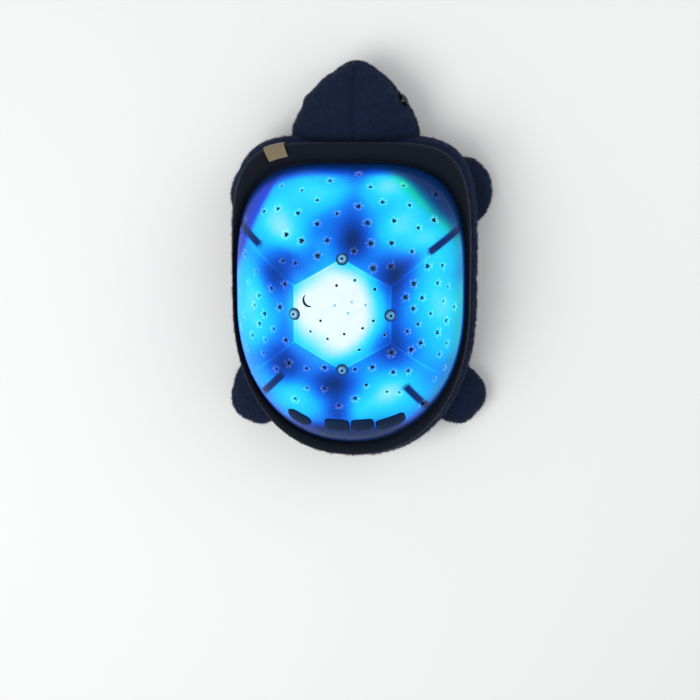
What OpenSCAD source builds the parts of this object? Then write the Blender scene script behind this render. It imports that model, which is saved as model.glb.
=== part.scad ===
// Plush turtle night light with a star-pierced translucent shell.
// Millimetres. +Z is up, +Y runs towards the head, and the soles of the feet stand at Z = 0.
// The middle of the floor outline is the origin.

/* [Shell] */
// Width of the shell at its rim
shell_w = 168; // [156:1:176]
// Length of the shell ahead of its widest line
shell_front_l = 102; // [96:1:108]
// Length of the shell behind its widest line
shell_rear_l = 103; // [97:1:108]
// Height of the crown above the rim line
shell_h = 62; // [56:1:70]
// Thickness of the shell's wall
shell_wall = 2.2; // [1.8:0.1:3]
// Squareness of the front of the rim, where 2 is an ellipse
shell_front_n = 3.6; // [2.4:0.1:4.2]
// Squareness of the rear of the rim
shell_rear_n = 2.15; // [2:0.05:2.6]
// Height of the rim line above the floor
rim_z = 54; // [52:1:60]
// Upright skirt below the rim line
skirt_h = 4; // [3:0.5:5]
// Width that the flange stands out from the skirt
flange_w = 3; // [2:0.5:3.5]
// Thickness of each of the two flanges that meet
flange_t = 2; // [1.5:0.5:2.5]

/* [Scutes and stars] */
// Side of the six-sided scute on the crown
hex_side = 38.5; // [34:0.5:42]
// Radius of the raised lines between the scutes
ridge_r = 1.1; // [0.8:0.1:1.4]
// Height of the raised lines above the shell
ridge_h = 0.5; // [0.3:0.1:0.8]
// Number of places that the star scatter tries
star_tries = 150; // [100:1:160]
// Size of the largest stars across their points
star_d = 6.2; // [5:0.2:7]
// Diameter of the round holes in the middle scute
dot_d = 2.4; // [1.6:0.2:3]
// Size of the moon-shaped hole
moon_d = 9.5; // [7:0.5:11]
// Diameter of the four clear studs
stud_d = 8; // [7:0.5:9]
// Diameter of a stud's stem
stud_stem_d = 4.6; // [3.6:0.2:5]

/* [Fixing posts] */
// Distance of the front posts from the middle line
post_front_x = 61; // [56:1:62]
// Distance of the front posts ahead of the shell's widest line
post_front_y = 46; // [40:1:48]
// Distance of the rear posts from the middle line
post_rear_x = 45; // [40:1:48]
// Distance of the rear posts behind the shell's widest line
post_rear_y = 51; // [46:1:54]
// Diameter of the shell's hanging posts
post_d = 7.5; // [7:0.5:8.5]
// Diameter of a case screw's thread
screw_d = 3; // [2.6:0.1:3.2]
// Diameter of a case screw's head
screw_head_d = 5.6; // [5:0.2:6]
// Height of a case screw's head
screw_head_h = 2; // [1.6:0.1:2.4]
// Length of a case screw under its head
screw_l = 12; // [10:1:14]

/* [Base housing] */
// Height of the housing's underside above the floor
base_z = 14; // [13:0.5:15]
// Wall of the base housing
base_wall = 2.4; // [2:0.1:3]
// How far the housing's wall stands inside the shell's outline at its foot
base_inset = 9; // [8:0.5:10]
// How far it stands inside the outline under the flange
base_top_inset = 5; // [4:0.5:6]
// Outer diameter of the tall screw bosses
boss_d = 10; // [9.5:0.5:11]
// Roof left above a screw's counterbore
boss_roof = 4; // [3:0.5:5]

/* [Batteries] */
// Diameter of a battery cell
cell_d = 10.5; // [10.2:0.1:11]
// Length of a battery cell without its button end
cell_l = 43.7; // [43:0.1:44.4]
// Number of battery cells side by side
cell_count = 3; // [2:1:3]
// Length that a contact spring is squeezed to
spring_l = 5; // [4:0.5:6]
// Wire of the contact springs
spring_wire = 0.7; // [0.5:0.1:0.9]
// Turns of a contact spring
spring_turns = 3; // [2:1:4]
// Thickness of the contact plates
contact_t = 0.4; // [0.3:0.1:0.6]
// Thickness of the battery door
door_t = 2; // [1.6:0.2:2.4]
// Ledge that the battery door lies against
door_ledge = 3; // [2.5:0.5:4]
// Diameter of the door's hinge barrel
barrel_d = 4; // [3.6:0.2:4.4]
// Diameter of the door's two hinge pins
hinge_pin_d = 2; // [1.6:0.2:2.2]
// Diameter of the door screw
door_screw_d = 2.6; // [2.2:0.2:3]

/* [Light] */
// Height of the light board above the floor
light_z = 58; // [54:1:62]
// Diameter of the light board
light_board_d = 30; // [28:1:34]
// Diameter of the pedestal tube
pedestal_d = 20; // [18:1:24]
// Diameter of a light's lens
led_d = 5; // [3:1:5]
// Height of a light above its board
led_h = 8.6; // [7:0.2:9]
// Distance of each light from the middle
led_reach = 6.5; // [5:0.5:8]
// Thickness of both circuit boards
board_t = 1.6; // [1:0.2:2]

/* [Buttons] */
// Lean of the buttons' axes from upright, towards the tail
button_lean = 40; // [36:1:44]
// Distance of the button row behind the shell's widest line
button_row = 83; // [81:0.5:84]
// Left edge of the row of three buttons
button_left = -14.8; // [-16:0.2:-13]
// Widths of the three buttons in the row
button_ws = [17, 15.5, 20]; // [12:0.5:22]
// Turn of each of the three buttons
button_turns = [0, 0, 9]; // [0:1:12]
// Gap between neighbouring buttons
button_gap = 2.2; // [2:0.1:3]
// Length of the buttons up the slope
button_l = 11.5; // [10:0.5:12]
// Place of the oval button left of the middle line
oval_x = 34; // [33:0.5:36]
// Length of the oval button
oval_w = 17.5; // [15:0.5:18]
// Width of the oval button
oval_l = 11; // [9:0.5:12]
// Turn of the oval button
oval_turn = -20; // [-26:1:-14]
// Height that the buttons stand proud of the shell
button_proud = 1.8; // [1.2:0.1:2.4]
// Radius of the buttons' crowned tops
button_crown_r = 46; // [36:1:60]
// Travel of the buttons
button_travel = 1.2; // [0.8:0.1:1.4]
// Gap around a button in the shell
button_slot = 0.5; // [0.4:0.1:0.8]
// Side of a switch body
switch_w = 6; // [5:0.5:7]
// Height of a switch body
switch_h = 5; // [4.6:0.2:5.6]
// Diameter of the pin under a button that enters its switch
plunger_d = 3.4; // [2.8:0.2:3.8]

/* [Plush body] */
// How far the body reaches past the shell's flange at the sides
body_side_w = 3.5; // [2.5:0.5:7]
// How far the body reaches past the shell's flange at the front
body_front_w = 16; // [12:1:20]
// How far the body reaches past the shell's flange at the rear
body_rear_w = 12; // [9:1:16]
// Squareness of the body's front
body_front_n = 5; // [4:0.5:5.5]
// Squareness of the body's rear
body_rear_n = 2.25; // [2.1:0.05:2.6]
// Height of the belly above the floor
belly_z = 10; // [9:0.5:11]
// Height of the seam where the collar lies on the body
seam_z = 45.5; // [44:0.5:46.5]
// Height of the collar's crest above the floor
collar_top = 61.5; // [59:0.5:64]
// Half width of the opening in the belly
window_half_w = 36; // [35:0.5:40]
// Half length of the opening in the belly
window_half_l = 44; // [43:0.5:48]
// Squareness of the opening in the belly
window_n = 4; // [3:0.5:5]

/* [Head] */
// Reach of the head's tip ahead of the shell's widest line
head_reach = 174; // [168:1:184]
// Half width of the head
head_half_w = 47; // [42:1:52]
// Half height of the head
head_half_h = 25; // [22:1:28]
// Height of the head's middle above the floor
head_z = 30; // [28:1:32]
// Turn of the head to one side
head_turn = 0.5; // [0:0.5:6]
// Diameter of an eye
eye_d = 9; // [7:0.5:11]

/* [Feet] */
// Half length of a front foot
front_foot_l = 37; // [32:1:40]
// Half width of a front foot
front_foot_w = 31; // [26:1:34]
// Half length of a rear foot
rear_foot_l = 36; // [32:1:39]
// Half width of a rear foot
rear_foot_w = 27; // [23:1:30]
// Thickness of the feet
foot_t = 27; // [24:1:30]
// Depth that the soles are pressed flat
sole_cut = 0.5; // [0.3:0.1:1]

/* [Care label] */
// Width of the blank label
label_w = 14; // [10:1:18]
// Share of the collar's width that the label leaves bare
label_bare = 0.4; // [0.3:0.05:0.6]
// Thickness of the folded label
label_t = 1; // [0.8:0.1:1.4]

/* [Hidden] */

// Facets of round things, and of the forms that are worked out point by point
$fn = 64;
shell_sides = 48;
shell_rings = 10;
inner_sides = 32;
inner_rings = 7;
plush_sides = 48;
// Clearances: what stands still, what runs, and what must keep apart while it moves
fit = 0.2;
run_fit = 0.1;
soft_gap = 0.3;
eps = 0.01;

// The body lies all round the shell's flange
body_half_w = shell_w / 2 + flange_w + body_side_w;
body_front_l = shell_front_l + flange_w + body_front_w;
body_rear_l = shell_rear_l + flange_w + body_rear_w;

// The head's outline: how sharply it draws in, and how far behind its tip it is widest
head_sharp = 1.5;
head_widest = 50;
tip_flat = 0.4;
function head_w(d) =
    head_half_w * (d < head_widest
        ? pow(1 - pow((head_widest - d) / head_widest, head_sharp), 1 / head_sharp) : 1);

// The shell's widest line lies this far behind the origin, which is midway between nose and tail
tip_reach = (head_reach - tip_flat) * cos(head_turn) + head_w(tip_flat) * sin(head_turn);
shell_y = (body_rear_l - tip_reach) / 2;
flange_z = rim_z - skirt_h;
base_top = flange_z - flange_t;

// ---- Outlines -------------------------------------------------------------------------------

// Radius, at angle a, of a closed curve hx wide each side, bf long ahead and br long behind,
// with a squareness of its own at each end
function oval_r(a, hx, bf, br, nf, nr) =
    let (n = sin(a) >= 0 ? nf : nr, b = sin(a) >= 0 ? bf : br)
    pow(pow(abs(cos(a)) / hx, n) + pow(abs(sin(a)) / b, n), -1 / n);

// The squareness falls to that of an ellipse towards the crown
function rounder(n, t) = 2 + (n - 2) * t;

// Radius of the shell's level curve at fraction t of the way out, for a wall inset by i
function shell_r(a, i = 0, t = 1) =
    t * oval_r(a, shell_w / 2 - i, shell_front_l - i, shell_rear_l - i,
        rounder(shell_front_n, t), rounder(shell_rear_n, t));

function body_r(a) =
    oval_r(a, body_half_w, body_front_l, body_rear_l, body_front_n, body_rear_n);

function window_r(a) = oval_r(a, window_half_w, window_half_l, window_half_l, window_n, window_n);

// A point of the shell at fraction t out and angle a
function shell_point(t, a, i = 0) =
    [shell_r(a, i, t) * cos(a), shell_r(a, i, t) * sin(a), (shell_h - i) * sqrt(1 - t * t)];

// Fraction out at which the place x, y lies, found by trying again from the last answer
function shell_t(x, y, k = 8, t = 0.7) =
    k == 0 ? t : shell_t(x, y, k - 1, min(1, norm([x, y]) / shell_r(atan2(y, x), 0, t) * t));

// Height of the shell's outside above the rim line
function shell_top(x, y) = let (t = shell_t(x, y)) shell_h * sqrt(1 - t * t);

// Outward direction of the shell at x, y
function shell_normal(x, y, d = 0.5) =
    let (v = [(shell_top(x - d, y) - shell_top(x + d, y)) / (2 * d),
              (shell_top(x, y - d) - shell_top(x, y + d)) / (2 * d), 1])
    v / norm(v);

function on_shell(x, y) = [x, y, shell_top(x, y)];

// ---- Surfaces worked out point by point ---------------------------------------------------------

// Triangles that join rings of n points, each ring to the next, and the last to the first if closed
function band_faces(rings, n, closed) = [
    for (k = [0 : rings - (closed ? 1 : 2)])
        for (j = [0 : n - 1])
            let (up = ((k + 1) % rings) * n, this = k * n, next = (j + 1) % n)
            each [[this + j, up + next, up + j], [this + j, this + next, up + next]]
];

// A solid between a first and a last ring, both filled in
module ring_stack(rings, n) {
    count = len(rings) / n;
    polyhedron(
        points = rings,
        faces = concat(
            band_faces(count, n, false),
            [[for (j = [n - 1 : -1 : 0]) j]],
            [[for (j = [0 : n - 1]) (count - 1) * n + j]]
        )
    );
}

// A closed hoop whose section is a loop of rings
module ring_hoop(rings, n) {
    polyhedron(points = rings, faces = band_faces(len(rings) / n, n, true));
}

// Moves what follows from the shell's own centre, at the rim line, to its place on the object
module at_shell() {
    translate([0, shell_y, rim_z]) children();
}

// Stands what follows at x, y on the shell, along its outward direction
module on_normal(x, y) {
    v = shell_normal(x, y);
    translate(on_shell(x, y)) rotate([0, acos(v[2]), atan2(v[1], v[0])]) children();
}

// ---- Shell -------------------------------------------------------------------------------------

// The domed solid of the shell, inset by i, with its skirt; the crown is a small flat
module shell_form(i = 0, sides = shell_sides, levels = shell_rings) {
    crown = 5;
    rings = [
        for (k = [0 : levels])
            let (t = sin(k == 0 ? crown : 90 * k / levels))
            for (j = [0 : sides - 1]) shell_point(t, 360 * j / sides, i)
    ];
    skirt = [
        for (j = [0 : sides - 1])
            let (a = 360 * j / sides)
            [shell_r(a, i) * cos(a), shell_r(a, i) * sin(a), -skirt_h - (i > 0 ? eps : 0)]
    ];
    ring_stack(concat(rings, skirt), sides);
}

// A level outline that follows the shell's rim, grown by g
module rim_outline(g) {
    polygon([
        for (j = [0 : shell_sides - 1])
            let (a = 360 * j / shell_sides)
            [shell_r(a, -g) * cos(a), shell_r(a, -g) * sin(a)]
    ]);
}

hex_corners = [for (k = [0 : 5]) hex_side * [cos(90 - 60 * k), sin(90 - 60 * k)]];
// The lines that run out from the corners end at these angles, this far out
spoke_angles = [90, 35, -35, -90, -145, 145];
spoke_end_t = 0.965;
spoke_ends = [for (a = spoke_angles) shell_r(a, 0, spoke_end_t) * [cos(a), sin(a)]];
scute_lines = concat(
    [for (k = [0 : 5]) [hex_corners[k], hex_corners[(k + 1) % 6]]],
    [for (k = [0 : 5]) [hex_corners[k], spoke_ends[k]]]
);

// One raised line between two places, in short straight runs that follow the curve
module ridge(p, q) {
    runs = 3;
    sink = ridge_r - ridge_h;
    function place(s) =
        let (w = p + (q - p) * s) on_shell(w[0], w[1]) - sink * shell_normal(w[0], w[1]);
    for (k = [0 : runs - 1])
        hull() {
            translate(place(k / runs)) sphere(r = ridge_r, $fn = 4);
            translate(place((k + 1) / runs)) sphere(r = ridge_r, $fn = 4);
        }
}

post_places = [
    [post_front_x, post_front_y], [-post_front_x, post_front_y],
    [post_rear_x, -post_rear_y], [-post_rear_x, -post_rear_y]
];

hex_flat = hex_side * cos(30);
stud_places = [[0, hex_side], [0, -hex_side], [hex_flat, 0], [-hex_flat, 0]];
stud_seat = 0.9;
stud_cap_h = 2.6;
stud_pin_hole_d = 1.6;
stud_crown_r = stud_d * 0.7;

moon_place = [-23.5, 9.7];
moon_bite = 2.6;
moon_turn = 218;

// Distance of place w from the line between p and q
function off_line(w, p, q) =
    let (d = q - p, s = max(0, min(1, ((w - p) * d) / (d * d)))) norm(w - p - s * d);

// The scatter turns by the golden angle and sways a little, so it never falls into rows
golden = 137.508;
star_reach_t = 0.94;
sway = 1.8;
sway_turns = [79, 53];
function star_place(k) =
    let (t = star_reach_t * sqrt((k + 0.5) / star_tries), a = golden * k, r = shell_r(a, 0, t))
    [r * cos(a) + sway * sin(sway_turns[0] * k), r * sin(a) + sway * cos(sway_turns[1] * k)];

// A place is free when it keeps clear of lines, posts, studs, the moon and the buttons
line_room = 3.8;
part_room = 8.5;
button_room_x = 52;
button_room_y = 16;
function free(w) =
    min([for (l = scute_lines) off_line(w, l[0], l[1])]) > line_room
    && min([for (p = concat(post_places, stud_places, [moon_place])) norm(w - p)]) > part_room
    && (abs(w[0]) > button_room_x || w[1] > -button_row + button_room_y);

function in_middle(w) = norm(w) < hex_flat;

// A five-pointed star, d across its points
star_waist = 0.5;
// Stars come in three sizes, and each is turned a little further than the last
star_sizes = [1, 0.88, 0.76];
star_spin = 47;
module star(d) {
    polygon([
        for (k = [0 : 9])
            let (r = d / 2 * (k % 2 == 0 ? 1 : star_waist)) [r * cos(36 * k), r * sin(36 * k)]
    ]);
}

hole_depth = 3 * shell_wall;
module pierced() {
    for (k = [0 : star_tries - 1]) {
        w = star_place(k);
        if (free(w))
            on_normal(w[0], w[1])
                rotate(star_spin * k)
                    linear_extrude(hole_depth, center = true)
                        if (in_middle(w)) circle(d = dot_d, $fn = 6);
                        else star(star_d * star_sizes[k % 3]);
    }
    on_normal(moon_place[0], moon_place[1])
        rotate(moon_turn)
            linear_extrude(hole_depth, center = true)
                difference() {
                    circle(d = moon_d, $fn = 16);
                    translate([moon_bite, 0]) circle(d = moon_d, $fn = 16);
                }
}

// Seat and hole of a clear stud
module stud_seat_cut() {
    translate([0, 0, -stud_seat]) cylinder(d = stud_d + 4 * fit, h = hole_depth, $fn = 16);
    cylinder(d = stud_stem_d + 4 * fit, h = hole_depth, center = true, $fn = 10);
}

// Room left past the tip of a screw
screw_tip_room = 1;
pilot_depth = screw_l - boss_roof + screw_tip_room;
module shell_dome() {
    color([0.16, 0.46, 0.86, 0.75]) at_shell() difference() {
        union() {
            difference() {
                union() {
                    shell_form();
                    translate([0, 0, -skirt_h]) linear_extrude(flange_t) rim_outline(flange_w);
                }
                shell_form(shell_wall, inner_sides, inner_rings);
            }
            intersection() {
                shell_form(shell_wall / 2, inner_sides, inner_rings);
                for (p = post_places)
                    translate([p[0], p[1], -skirt_h]) cylinder(d = post_d, h = shell_h, $fn = 16);
            }
            for (l = scute_lines) ridge(l[0], l[1]);
        }
        pierced();
        for (p = stud_places) on_normal(p[0], p[1]) stud_seat_cut();
        for (b = buttons) button_frame() button_hole(b);
        for (p = post_places)
            translate([p[0], p[1], -skirt_h - eps])
                cylinder(d = screw_d + 2 * fit, h = pilot_depth + eps, $fn = 10);
    }
}

// Four clear domed studs with a pin hole, each a turned piece with a stem
module lens_studs() {
    color([0.75, 0.92, 0.98, 0.8]) at_shell()
        for (p = stud_places)
            on_normal(p[0], p[1])
                translate([0, 0, -stud_seat])
                    difference() {
                        union() {
                            cylinder(d = stud_stem_d, h = 2 * shell_wall, center = true);
                            intersection() {
                                cylinder(d = stud_d, h = stud_cap_h);
                                translate([0, 0, stud_cap_h - stud_crown_r]) sphere(r = stud_crown_r);
                            }
                        }
                        cylinder(d = stud_pin_hole_d, h = 4 * stud_cap_h, center = true);
                    }
}

// ---- Buttons -------------------------------------------------------------------------------------

// The buttons share one lean, and are placed in a frame whose Z runs out along it
button_origin = on_shell(0, -button_row);
button_out = [0, -sin(button_lean), cos(button_lean)];
button_up = [0, cos(button_lean), sin(button_lean)];

module button_frame() {
    translate(button_origin) rotate([button_lean, 0, 0]) children();
}

// How far out the shell's surface lies at u across and v up the slope of that frame
function surface_out(u, v, w = 0, k = 10) =
    k == 0 ? w
    : let (p = button_origin + [u, 0, 0] + v * button_up + w * button_out)
      surface_out(u, v, w + (shell_top(p[0], p[1]) - p[2]) * cos(button_lean), k - 1);

// Each button: name, across, up the slope, width, length, turn, corner radius
corner_r = 3;
row_x = [for (k = 0, x = button_left; k < 3; x = x + button_ws[k] + button_gap, k = k + 1) x];
row_up = [0, 0, -1.6];
buttons = concat(
    [["power", -oval_x, 0.2, oval_w, oval_l, oval_turn, oval_l / 2]],
    [for (k = [0 : 2])
        [["red", "green", "blue"][k], row_x[k] + button_ws[k] / 2, row_up[k],
            button_ws[k], button_l, button_turns[k], corner_r]]
);

module button_outline(b, g) {
    rotate(b[5]) offset(r = b[6] + g) square([b[3] - 2 * b[6], b[4] - 2 * b[6] + eps], center = true);
}

// Corners and side middles of a button's outline grown by g, in the buttons' frame
function button_edge(b, g) = [
    for (i = [-1 : 1])
        for (j = [-1 : 1])
            let (u = i * (b[3] / 2 + g), v = j * (b[4] / 2 + g))
            [b[1] + u * cos(b[5]) - v * sin(b[5]), b[2] + u * sin(b[5]) + v * cos(b[5])]
];

// The lip that keeps a button in lies a little under the wall, where that is lowest round the button
lip_t = 1.2;
lip_w = 0.8;
lip_room = 1.6;
function lip_level(b) =
    min([for (e = button_edge(b, lip_w)) surface_out(e[0], e[1])]) - shell_wall - lip_room;

// Length that a button's cap and its hole run along the lean
button_run = 24;
module button_hole(b) {
    translate([b[1], b[2], lip_level(b)]) linear_extrude(button_run) button_outline(b, button_slot, $fn = 16);
}

plunger_in = 1;
press_room = 0.6;
lowest_lip = min([for (b = buttons) lip_level(b)]) - lip_t;
board_w = lowest_lip - button_travel - press_room - switch_h;

// One button: a crowned cap, a lip that keeps it in and a pin that runs in its switch
module button_cap(b) {
    w = surface_out(b[1], b[2]);
    p = button_origin + [b[1], 0, 0] + b[2] * button_up + w * button_out;
    v = shell_normal(p[0], p[1]);
    lip = lip_level(b) - lip_t;
    pin_end = board_w + switch_h - plunger_in;
    at_shell() {
        intersection() {
            button_frame() translate([b[1], b[2], lip]) linear_extrude(button_run) button_outline(b, 0);
            translate(p + (button_proud - button_crown_r) * v) sphere(r = button_crown_r, $fn = 160);
        }
        button_frame() translate([b[1], b[2], lip]) linear_extrude(lip_t) button_outline(b, lip_w);
        button_frame() translate([b[1], b[2], pin_end]) cylinder(d = plunger_d, h = lip + eps - pin_end);
    }
}

module power_button() { color([0.05, 0.09, 0.2]) button_cap(buttons[0]); }
module red_button() { color([0.05, 0.09, 0.2]) button_cap(buttons[1]); }
module green_button() { color([0.05, 0.09, 0.2]) button_cap(buttons[2]); }
module blue_button() { color([0.05, 0.09, 0.2]) button_cap(buttons[3]); }

well_depth = 3;
board_l = 16;
board_left = buttons[0][1] - oval_w / 2;
board_right = buttons[3][1] + button_ws[2] / 2;
module switches() {
    color([0.2, 0.2, 0.22]) at_shell() button_frame()
        for (b = buttons)
            translate([b[1], b[2], board_w])
                difference() {
                    translate([-switch_w / 2, -switch_w / 2, 0]) cube([switch_w, switch_w, switch_h]);
                    translate([0, 0, switch_h - well_depth])
                        cylinder(d = plunger_d + 2 * run_fit, h = well_depth + eps);
                }
}

module control_board() {
    color([0.1, 0.35, 0.2]) at_shell() button_frame()
        translate([board_left, -board_l / 2, board_w - board_t])
            cube([board_right - board_left, board_l, board_t]);
}

// The carrier is a leaning plate on two legs, with a screen that hides the board from the rear rim
carrier_t = 2.4;
leg_d = 8;
leg_x = 26;
carrier_mid = button_origin + (board_w - board_t - carrier_t) * button_out;
leg_y = carrier_mid[1];
leg_places = [[leg_x, leg_y], [-leg_x, leg_y]];
screen_t = 2;
screen_foot = 3;
screen_inset = 6;
module button_carrier() {
    color([0.03, 0.04, 0.07]) at_shell() difference() {
        union() {
            button_frame()
                translate([board_left, -board_l / 2 - screen_t, board_w - board_t - carrier_t])
                    cube([board_right - board_left, board_l + screen_t, carrier_t]);
            for (p = leg_places)
                translate([p[0], p[1], -skirt_h]) cylinder(d = leg_d, h = carrier_mid[2] + skirt_h);
            screen();
        }
        for (p = leg_places)
            translate([p[0], p[1], -skirt_h - eps])
                cylinder(d = screw_d + 2 * fit, h = pilot_depth + eps);
        button_frame()
            translate([-shell_w / 2, -shell_w / 2, board_w - board_t])
                cube([shell_w, shell_w, shell_h]);
    }
}

// The screen drops from the plate's lower edge, and is cut to keep inside the shell
module screen() {
    y = carrier_mid[1] - (board_l / 2 + screen_t) * cos(button_lean);
    z = carrier_mid[2] - board_l / 2 * sin(button_lean);
    half = min(-board_left, board_right) - screen_inset;
    translate([-half, y, screen_foot]) cube([2 * half, screen_t, z - screen_foot]);
}

// ---- Base housing ---------------------------------------------------------------------------------

cell_button_l = 0.8;
cell_button_d = 3.8;
bay_clear = 0.6;
bay_w = cell_count * cell_d + (cell_count + 1) * bay_clear;
bay_l = cell_l + cell_button_l + spring_l + 2 * contact_t;
bay_h = cell_d + bay_clear;
door_w = bay_w + 2 * door_ledge;
// The door runs from its hinge line to past the bay, with room for its screw behind the cells
screw_land = 9;
hinge_land = 1.4;
hinge_y = bay_l / 2 + barrel_d / 2 + hinge_land;
door_end = -bay_l / 2 - screw_land;
door_gap = 0.3;
block_wall = 2.4;
block_h = door_t + bay_h + block_wall;
hinge_z = base_z + door_t;
door_screw_y = door_end + screw_land / 2;

module tub(i, z0, z1) {
    hull() {
        translate([0, 0, z0]) linear_extrude(eps) rim_outline(-base_inset - i);
        translate([0, 0, z1 - eps]) linear_extrude(eps) rim_outline(-base_top_inset - i);
    }
}

boss_places = concat(post_places, leg_places);

module base_housing() {
    color([0.09, 0.1, 0.14]) translate([0, shell_y, 0]) difference() {
        union() {
            difference() {
                union() {
                    tub(0, base_z, base_top);
                    translate([0, 0, base_top]) linear_extrude(flange_t) rim_outline(flange_w);
                }
                tub(base_wall, base_z + base_wall, base_top + flange_t + 2 * eps);
            }
            for (p = boss_places)
                translate([p[0], p[1], base_z]) cylinder(d = boss_d, h = flange_z - base_z);
            // The block holds the battery bay and the door
            translate([-door_w / 2 - block_wall, door_end - block_wall, base_z])
                cube([door_w + 2 * block_wall, hinge_y + barrel_d / 2 + 2 * block_wall - door_end, block_h]);
        }
        for (p = boss_places) {
            translate([p[0], p[1], base_z - eps])
                cylinder(d = screw_head_d + 4 * fit, h = flange_z - boss_roof - base_z + eps);
            translate([p[0], p[1], flange_z - boss_roof - eps])
                cylinder(d = screw_d + 2 * fit, h = boss_roof + 2 * eps);
        }
        // Bay, rebate for the door, groove for its barrel, and the holes for its two pins
        translate([-bay_w / 2, -bay_l / 2, base_z]) cube([bay_w, bay_l, door_t + bay_h]);
        translate([-door_w / 2 - door_gap, door_end - door_gap, base_z - eps])
            cube([door_w + 2 * door_gap, hinge_y - door_end + door_gap, door_t + eps]);
        translate([-door_w / 2 - door_gap, hinge_y, hinge_z]) rotate([0, 90, 0])
            cylinder(d = barrel_d + 2 * door_gap, h = door_w + 2 * door_gap);
        translate([-door_w / 2 - door_gap, hinge_y - barrel_d / 2 - door_gap, base_z - eps])
            cube([door_w + 2 * door_gap, barrel_d + 2 * door_gap, door_t + eps]);
        translate([-door_w / 2 - pin_l, hinge_y, hinge_z]) rotate([0, 90, 0])
            cylinder(d = hinge_pin_d + 2 * run_fit, h = door_w + 2 * pin_l);
        translate([0, door_screw_y, hinge_z - eps])
            cylinder(d = door_screw_d + 4 * door_gap, h = door_screw_reach + screw_tip_room);
    }
}

module case_screws() {
    color([0.7, 0.7, 0.72]) translate([0, shell_y, 0])
        for (p = boss_places)
            translate([p[0], p[1], flange_z - boss_roof]) {
                translate([0, 0, -eps]) cylinder(d = screw_d, h = screw_l + eps);
                difference() {
                    translate([0, 0, -screw_head_h]) cylinder(d = screw_head_d, h = screw_head_h);
                    translate([0, 0, -screw_head_h - eps]) cross_slot(screw_head_d, screw_head_h / 2);
                }
            }
}

// Crossed driver slots in a screw head of diameter d, cut up from the bottom
slot_w = 0.9;
slot_share = 0.7;
module cross_slot(d, h) {
    l = d * slot_share;
    translate([-l / 2, -slot_w / 2, 0]) cube([l, slot_w, h]);
    translate([-slot_w / 2, -l / 2, 0]) cube([slot_w, l, h]);
}

// ---- Battery door, cells and contacts --------------------------------------------------------------

pin_l = 1.6;
door_screw_reach = 5;
door_head_d = 5;
door_head_h = 1.2;
grip_count = 4;
grip_step = 3;
grip_r = 0.6;
module battery_door() {
    color([0.09, 0.1, 0.14]) translate([0, shell_y, 0]) {
        difference() {
            union() {
                translate([-door_w / 2, door_end, base_z]) cube([door_w, hinge_y - door_end, door_t]);
                translate([-door_w / 2, hinge_y, hinge_z]) rotate([0, 90, 0]) cylinder(d = barrel_d, h = door_w);
            }
            translate([0, door_screw_y, base_z - eps])
                cylinder(d = door_head_d + 2 * fit, h = door_head_h + eps);
            translate([0, door_screw_y, base_z - eps])
                cylinder(d = door_screw_d + 2 * fit, h = door_t + 2 * eps);
            // Finger grooves across the door
            for (k = [0 : grip_count - 1])
                translate([-door_w / 5, k * grip_step, base_z]) rotate([0, 90, 0])
                    cylinder(r = grip_r, h = door_w * 2 / 5);
        }
        translate([-door_w / 2 - pin_l + door_gap, hinge_y, hinge_z]) rotate([0, 90, 0])
            cylinder(d = hinge_pin_d, h = door_w + 2 * (pin_l - door_gap));
    }
}

module door_screw() {
    color([0.7, 0.7, 0.72]) translate([0, shell_y + door_screw_y, base_z]) {
        difference() {
            cylinder(d = door_head_d, h = door_head_h);
            translate([0, 0, -eps]) cross_slot(door_head_d, door_head_h / 2);
        }
        translate([0, 0, door_head_h]) cylinder(d = door_screw_d, h = door_t - door_head_h + door_screw_reach);
    }
}

cell_z = base_z + door_t + bay_clear / 2 + cell_d / 2;
function cell_x(k) = (k - (cell_count - 1) / 2) * (cell_d + bay_clear);
// Cells lie by turns head to tail
function cell_way(k) = k % 2 == 0 ? 1 : -1;
// The button end presses the plate in front of it
cell_front = bay_l / 2 - contact_t;

module battery_cells() {
    color([0.75, 0.6, 0.3]) translate([0, shell_y, cell_z])
        for (k = [0 : cell_count - 1])
            translate([cell_x(k), 0, 0]) scale([1, cell_way(k), 1])
                translate([0, cell_front, 0]) rotate([90, 0, 0]) {
                    cylinder(d = cell_button_d, h = cell_button_l + eps);
                    translate([0, 0, cell_button_l]) cylinder(d = cell_d, h = cell_l);
                }
}

plate_w = 8.6;
module contact_plates() {
    color([0.8, 0.8, 0.78]) translate([0, shell_y, cell_z])
        for (k = [0 : cell_count - 1])
            for (s = [-1, 1])
                translate([cell_x(k) - plate_w / 2, s * (cell_front + contact_t / 2) - contact_t / 2, -plate_w / 2])
                    cube([plate_w, contact_t, plate_w]);
}

// A cone-shaped contact spring: one unbroken wire, swept along a helix
spring_sides = 6;
spring_steps = 8;
spring_foot_r = 3.6;
spring_tip_r = 2.2;
module contact_spring(l) {
    n = spring_turns * spring_steps;
    rise = l - spring_wire;
    rings = [
        for (i = [0 : n])
            let (s = i / n, a = 360 * spring_turns * s, r = spring_foot_r + (spring_tip_r - spring_foot_r) * s)
            for (j = [0 : spring_sides - 1])
                let (b = 360 * j / spring_sides, q = r + spring_wire / 2 * cos(b))
                [q * cos(a), q * sin(a), spring_wire / 2 + rise * s + spring_wire / 2 * sin(b)]
    ];
    ring_stack(rings, spring_sides);
}

module battery_springs() {
    far_end = cell_front - cell_button_l - cell_l;
    room = far_end + cell_front;
    color([0.8, 0.8, 0.78]) translate([0, shell_y, cell_z])
        for (k = [0 : cell_count - 1])
            translate([cell_x(k), 0, 0]) rotate(cell_way(k) > 0 ? 0 : 180)
                translate([0, -cell_front + eps, 0]) rotate([-90, 0, 0]) contact_spring(room - 2 * eps);
}

// ---- Light -----------------------------------------------------------------------------------------

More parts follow.
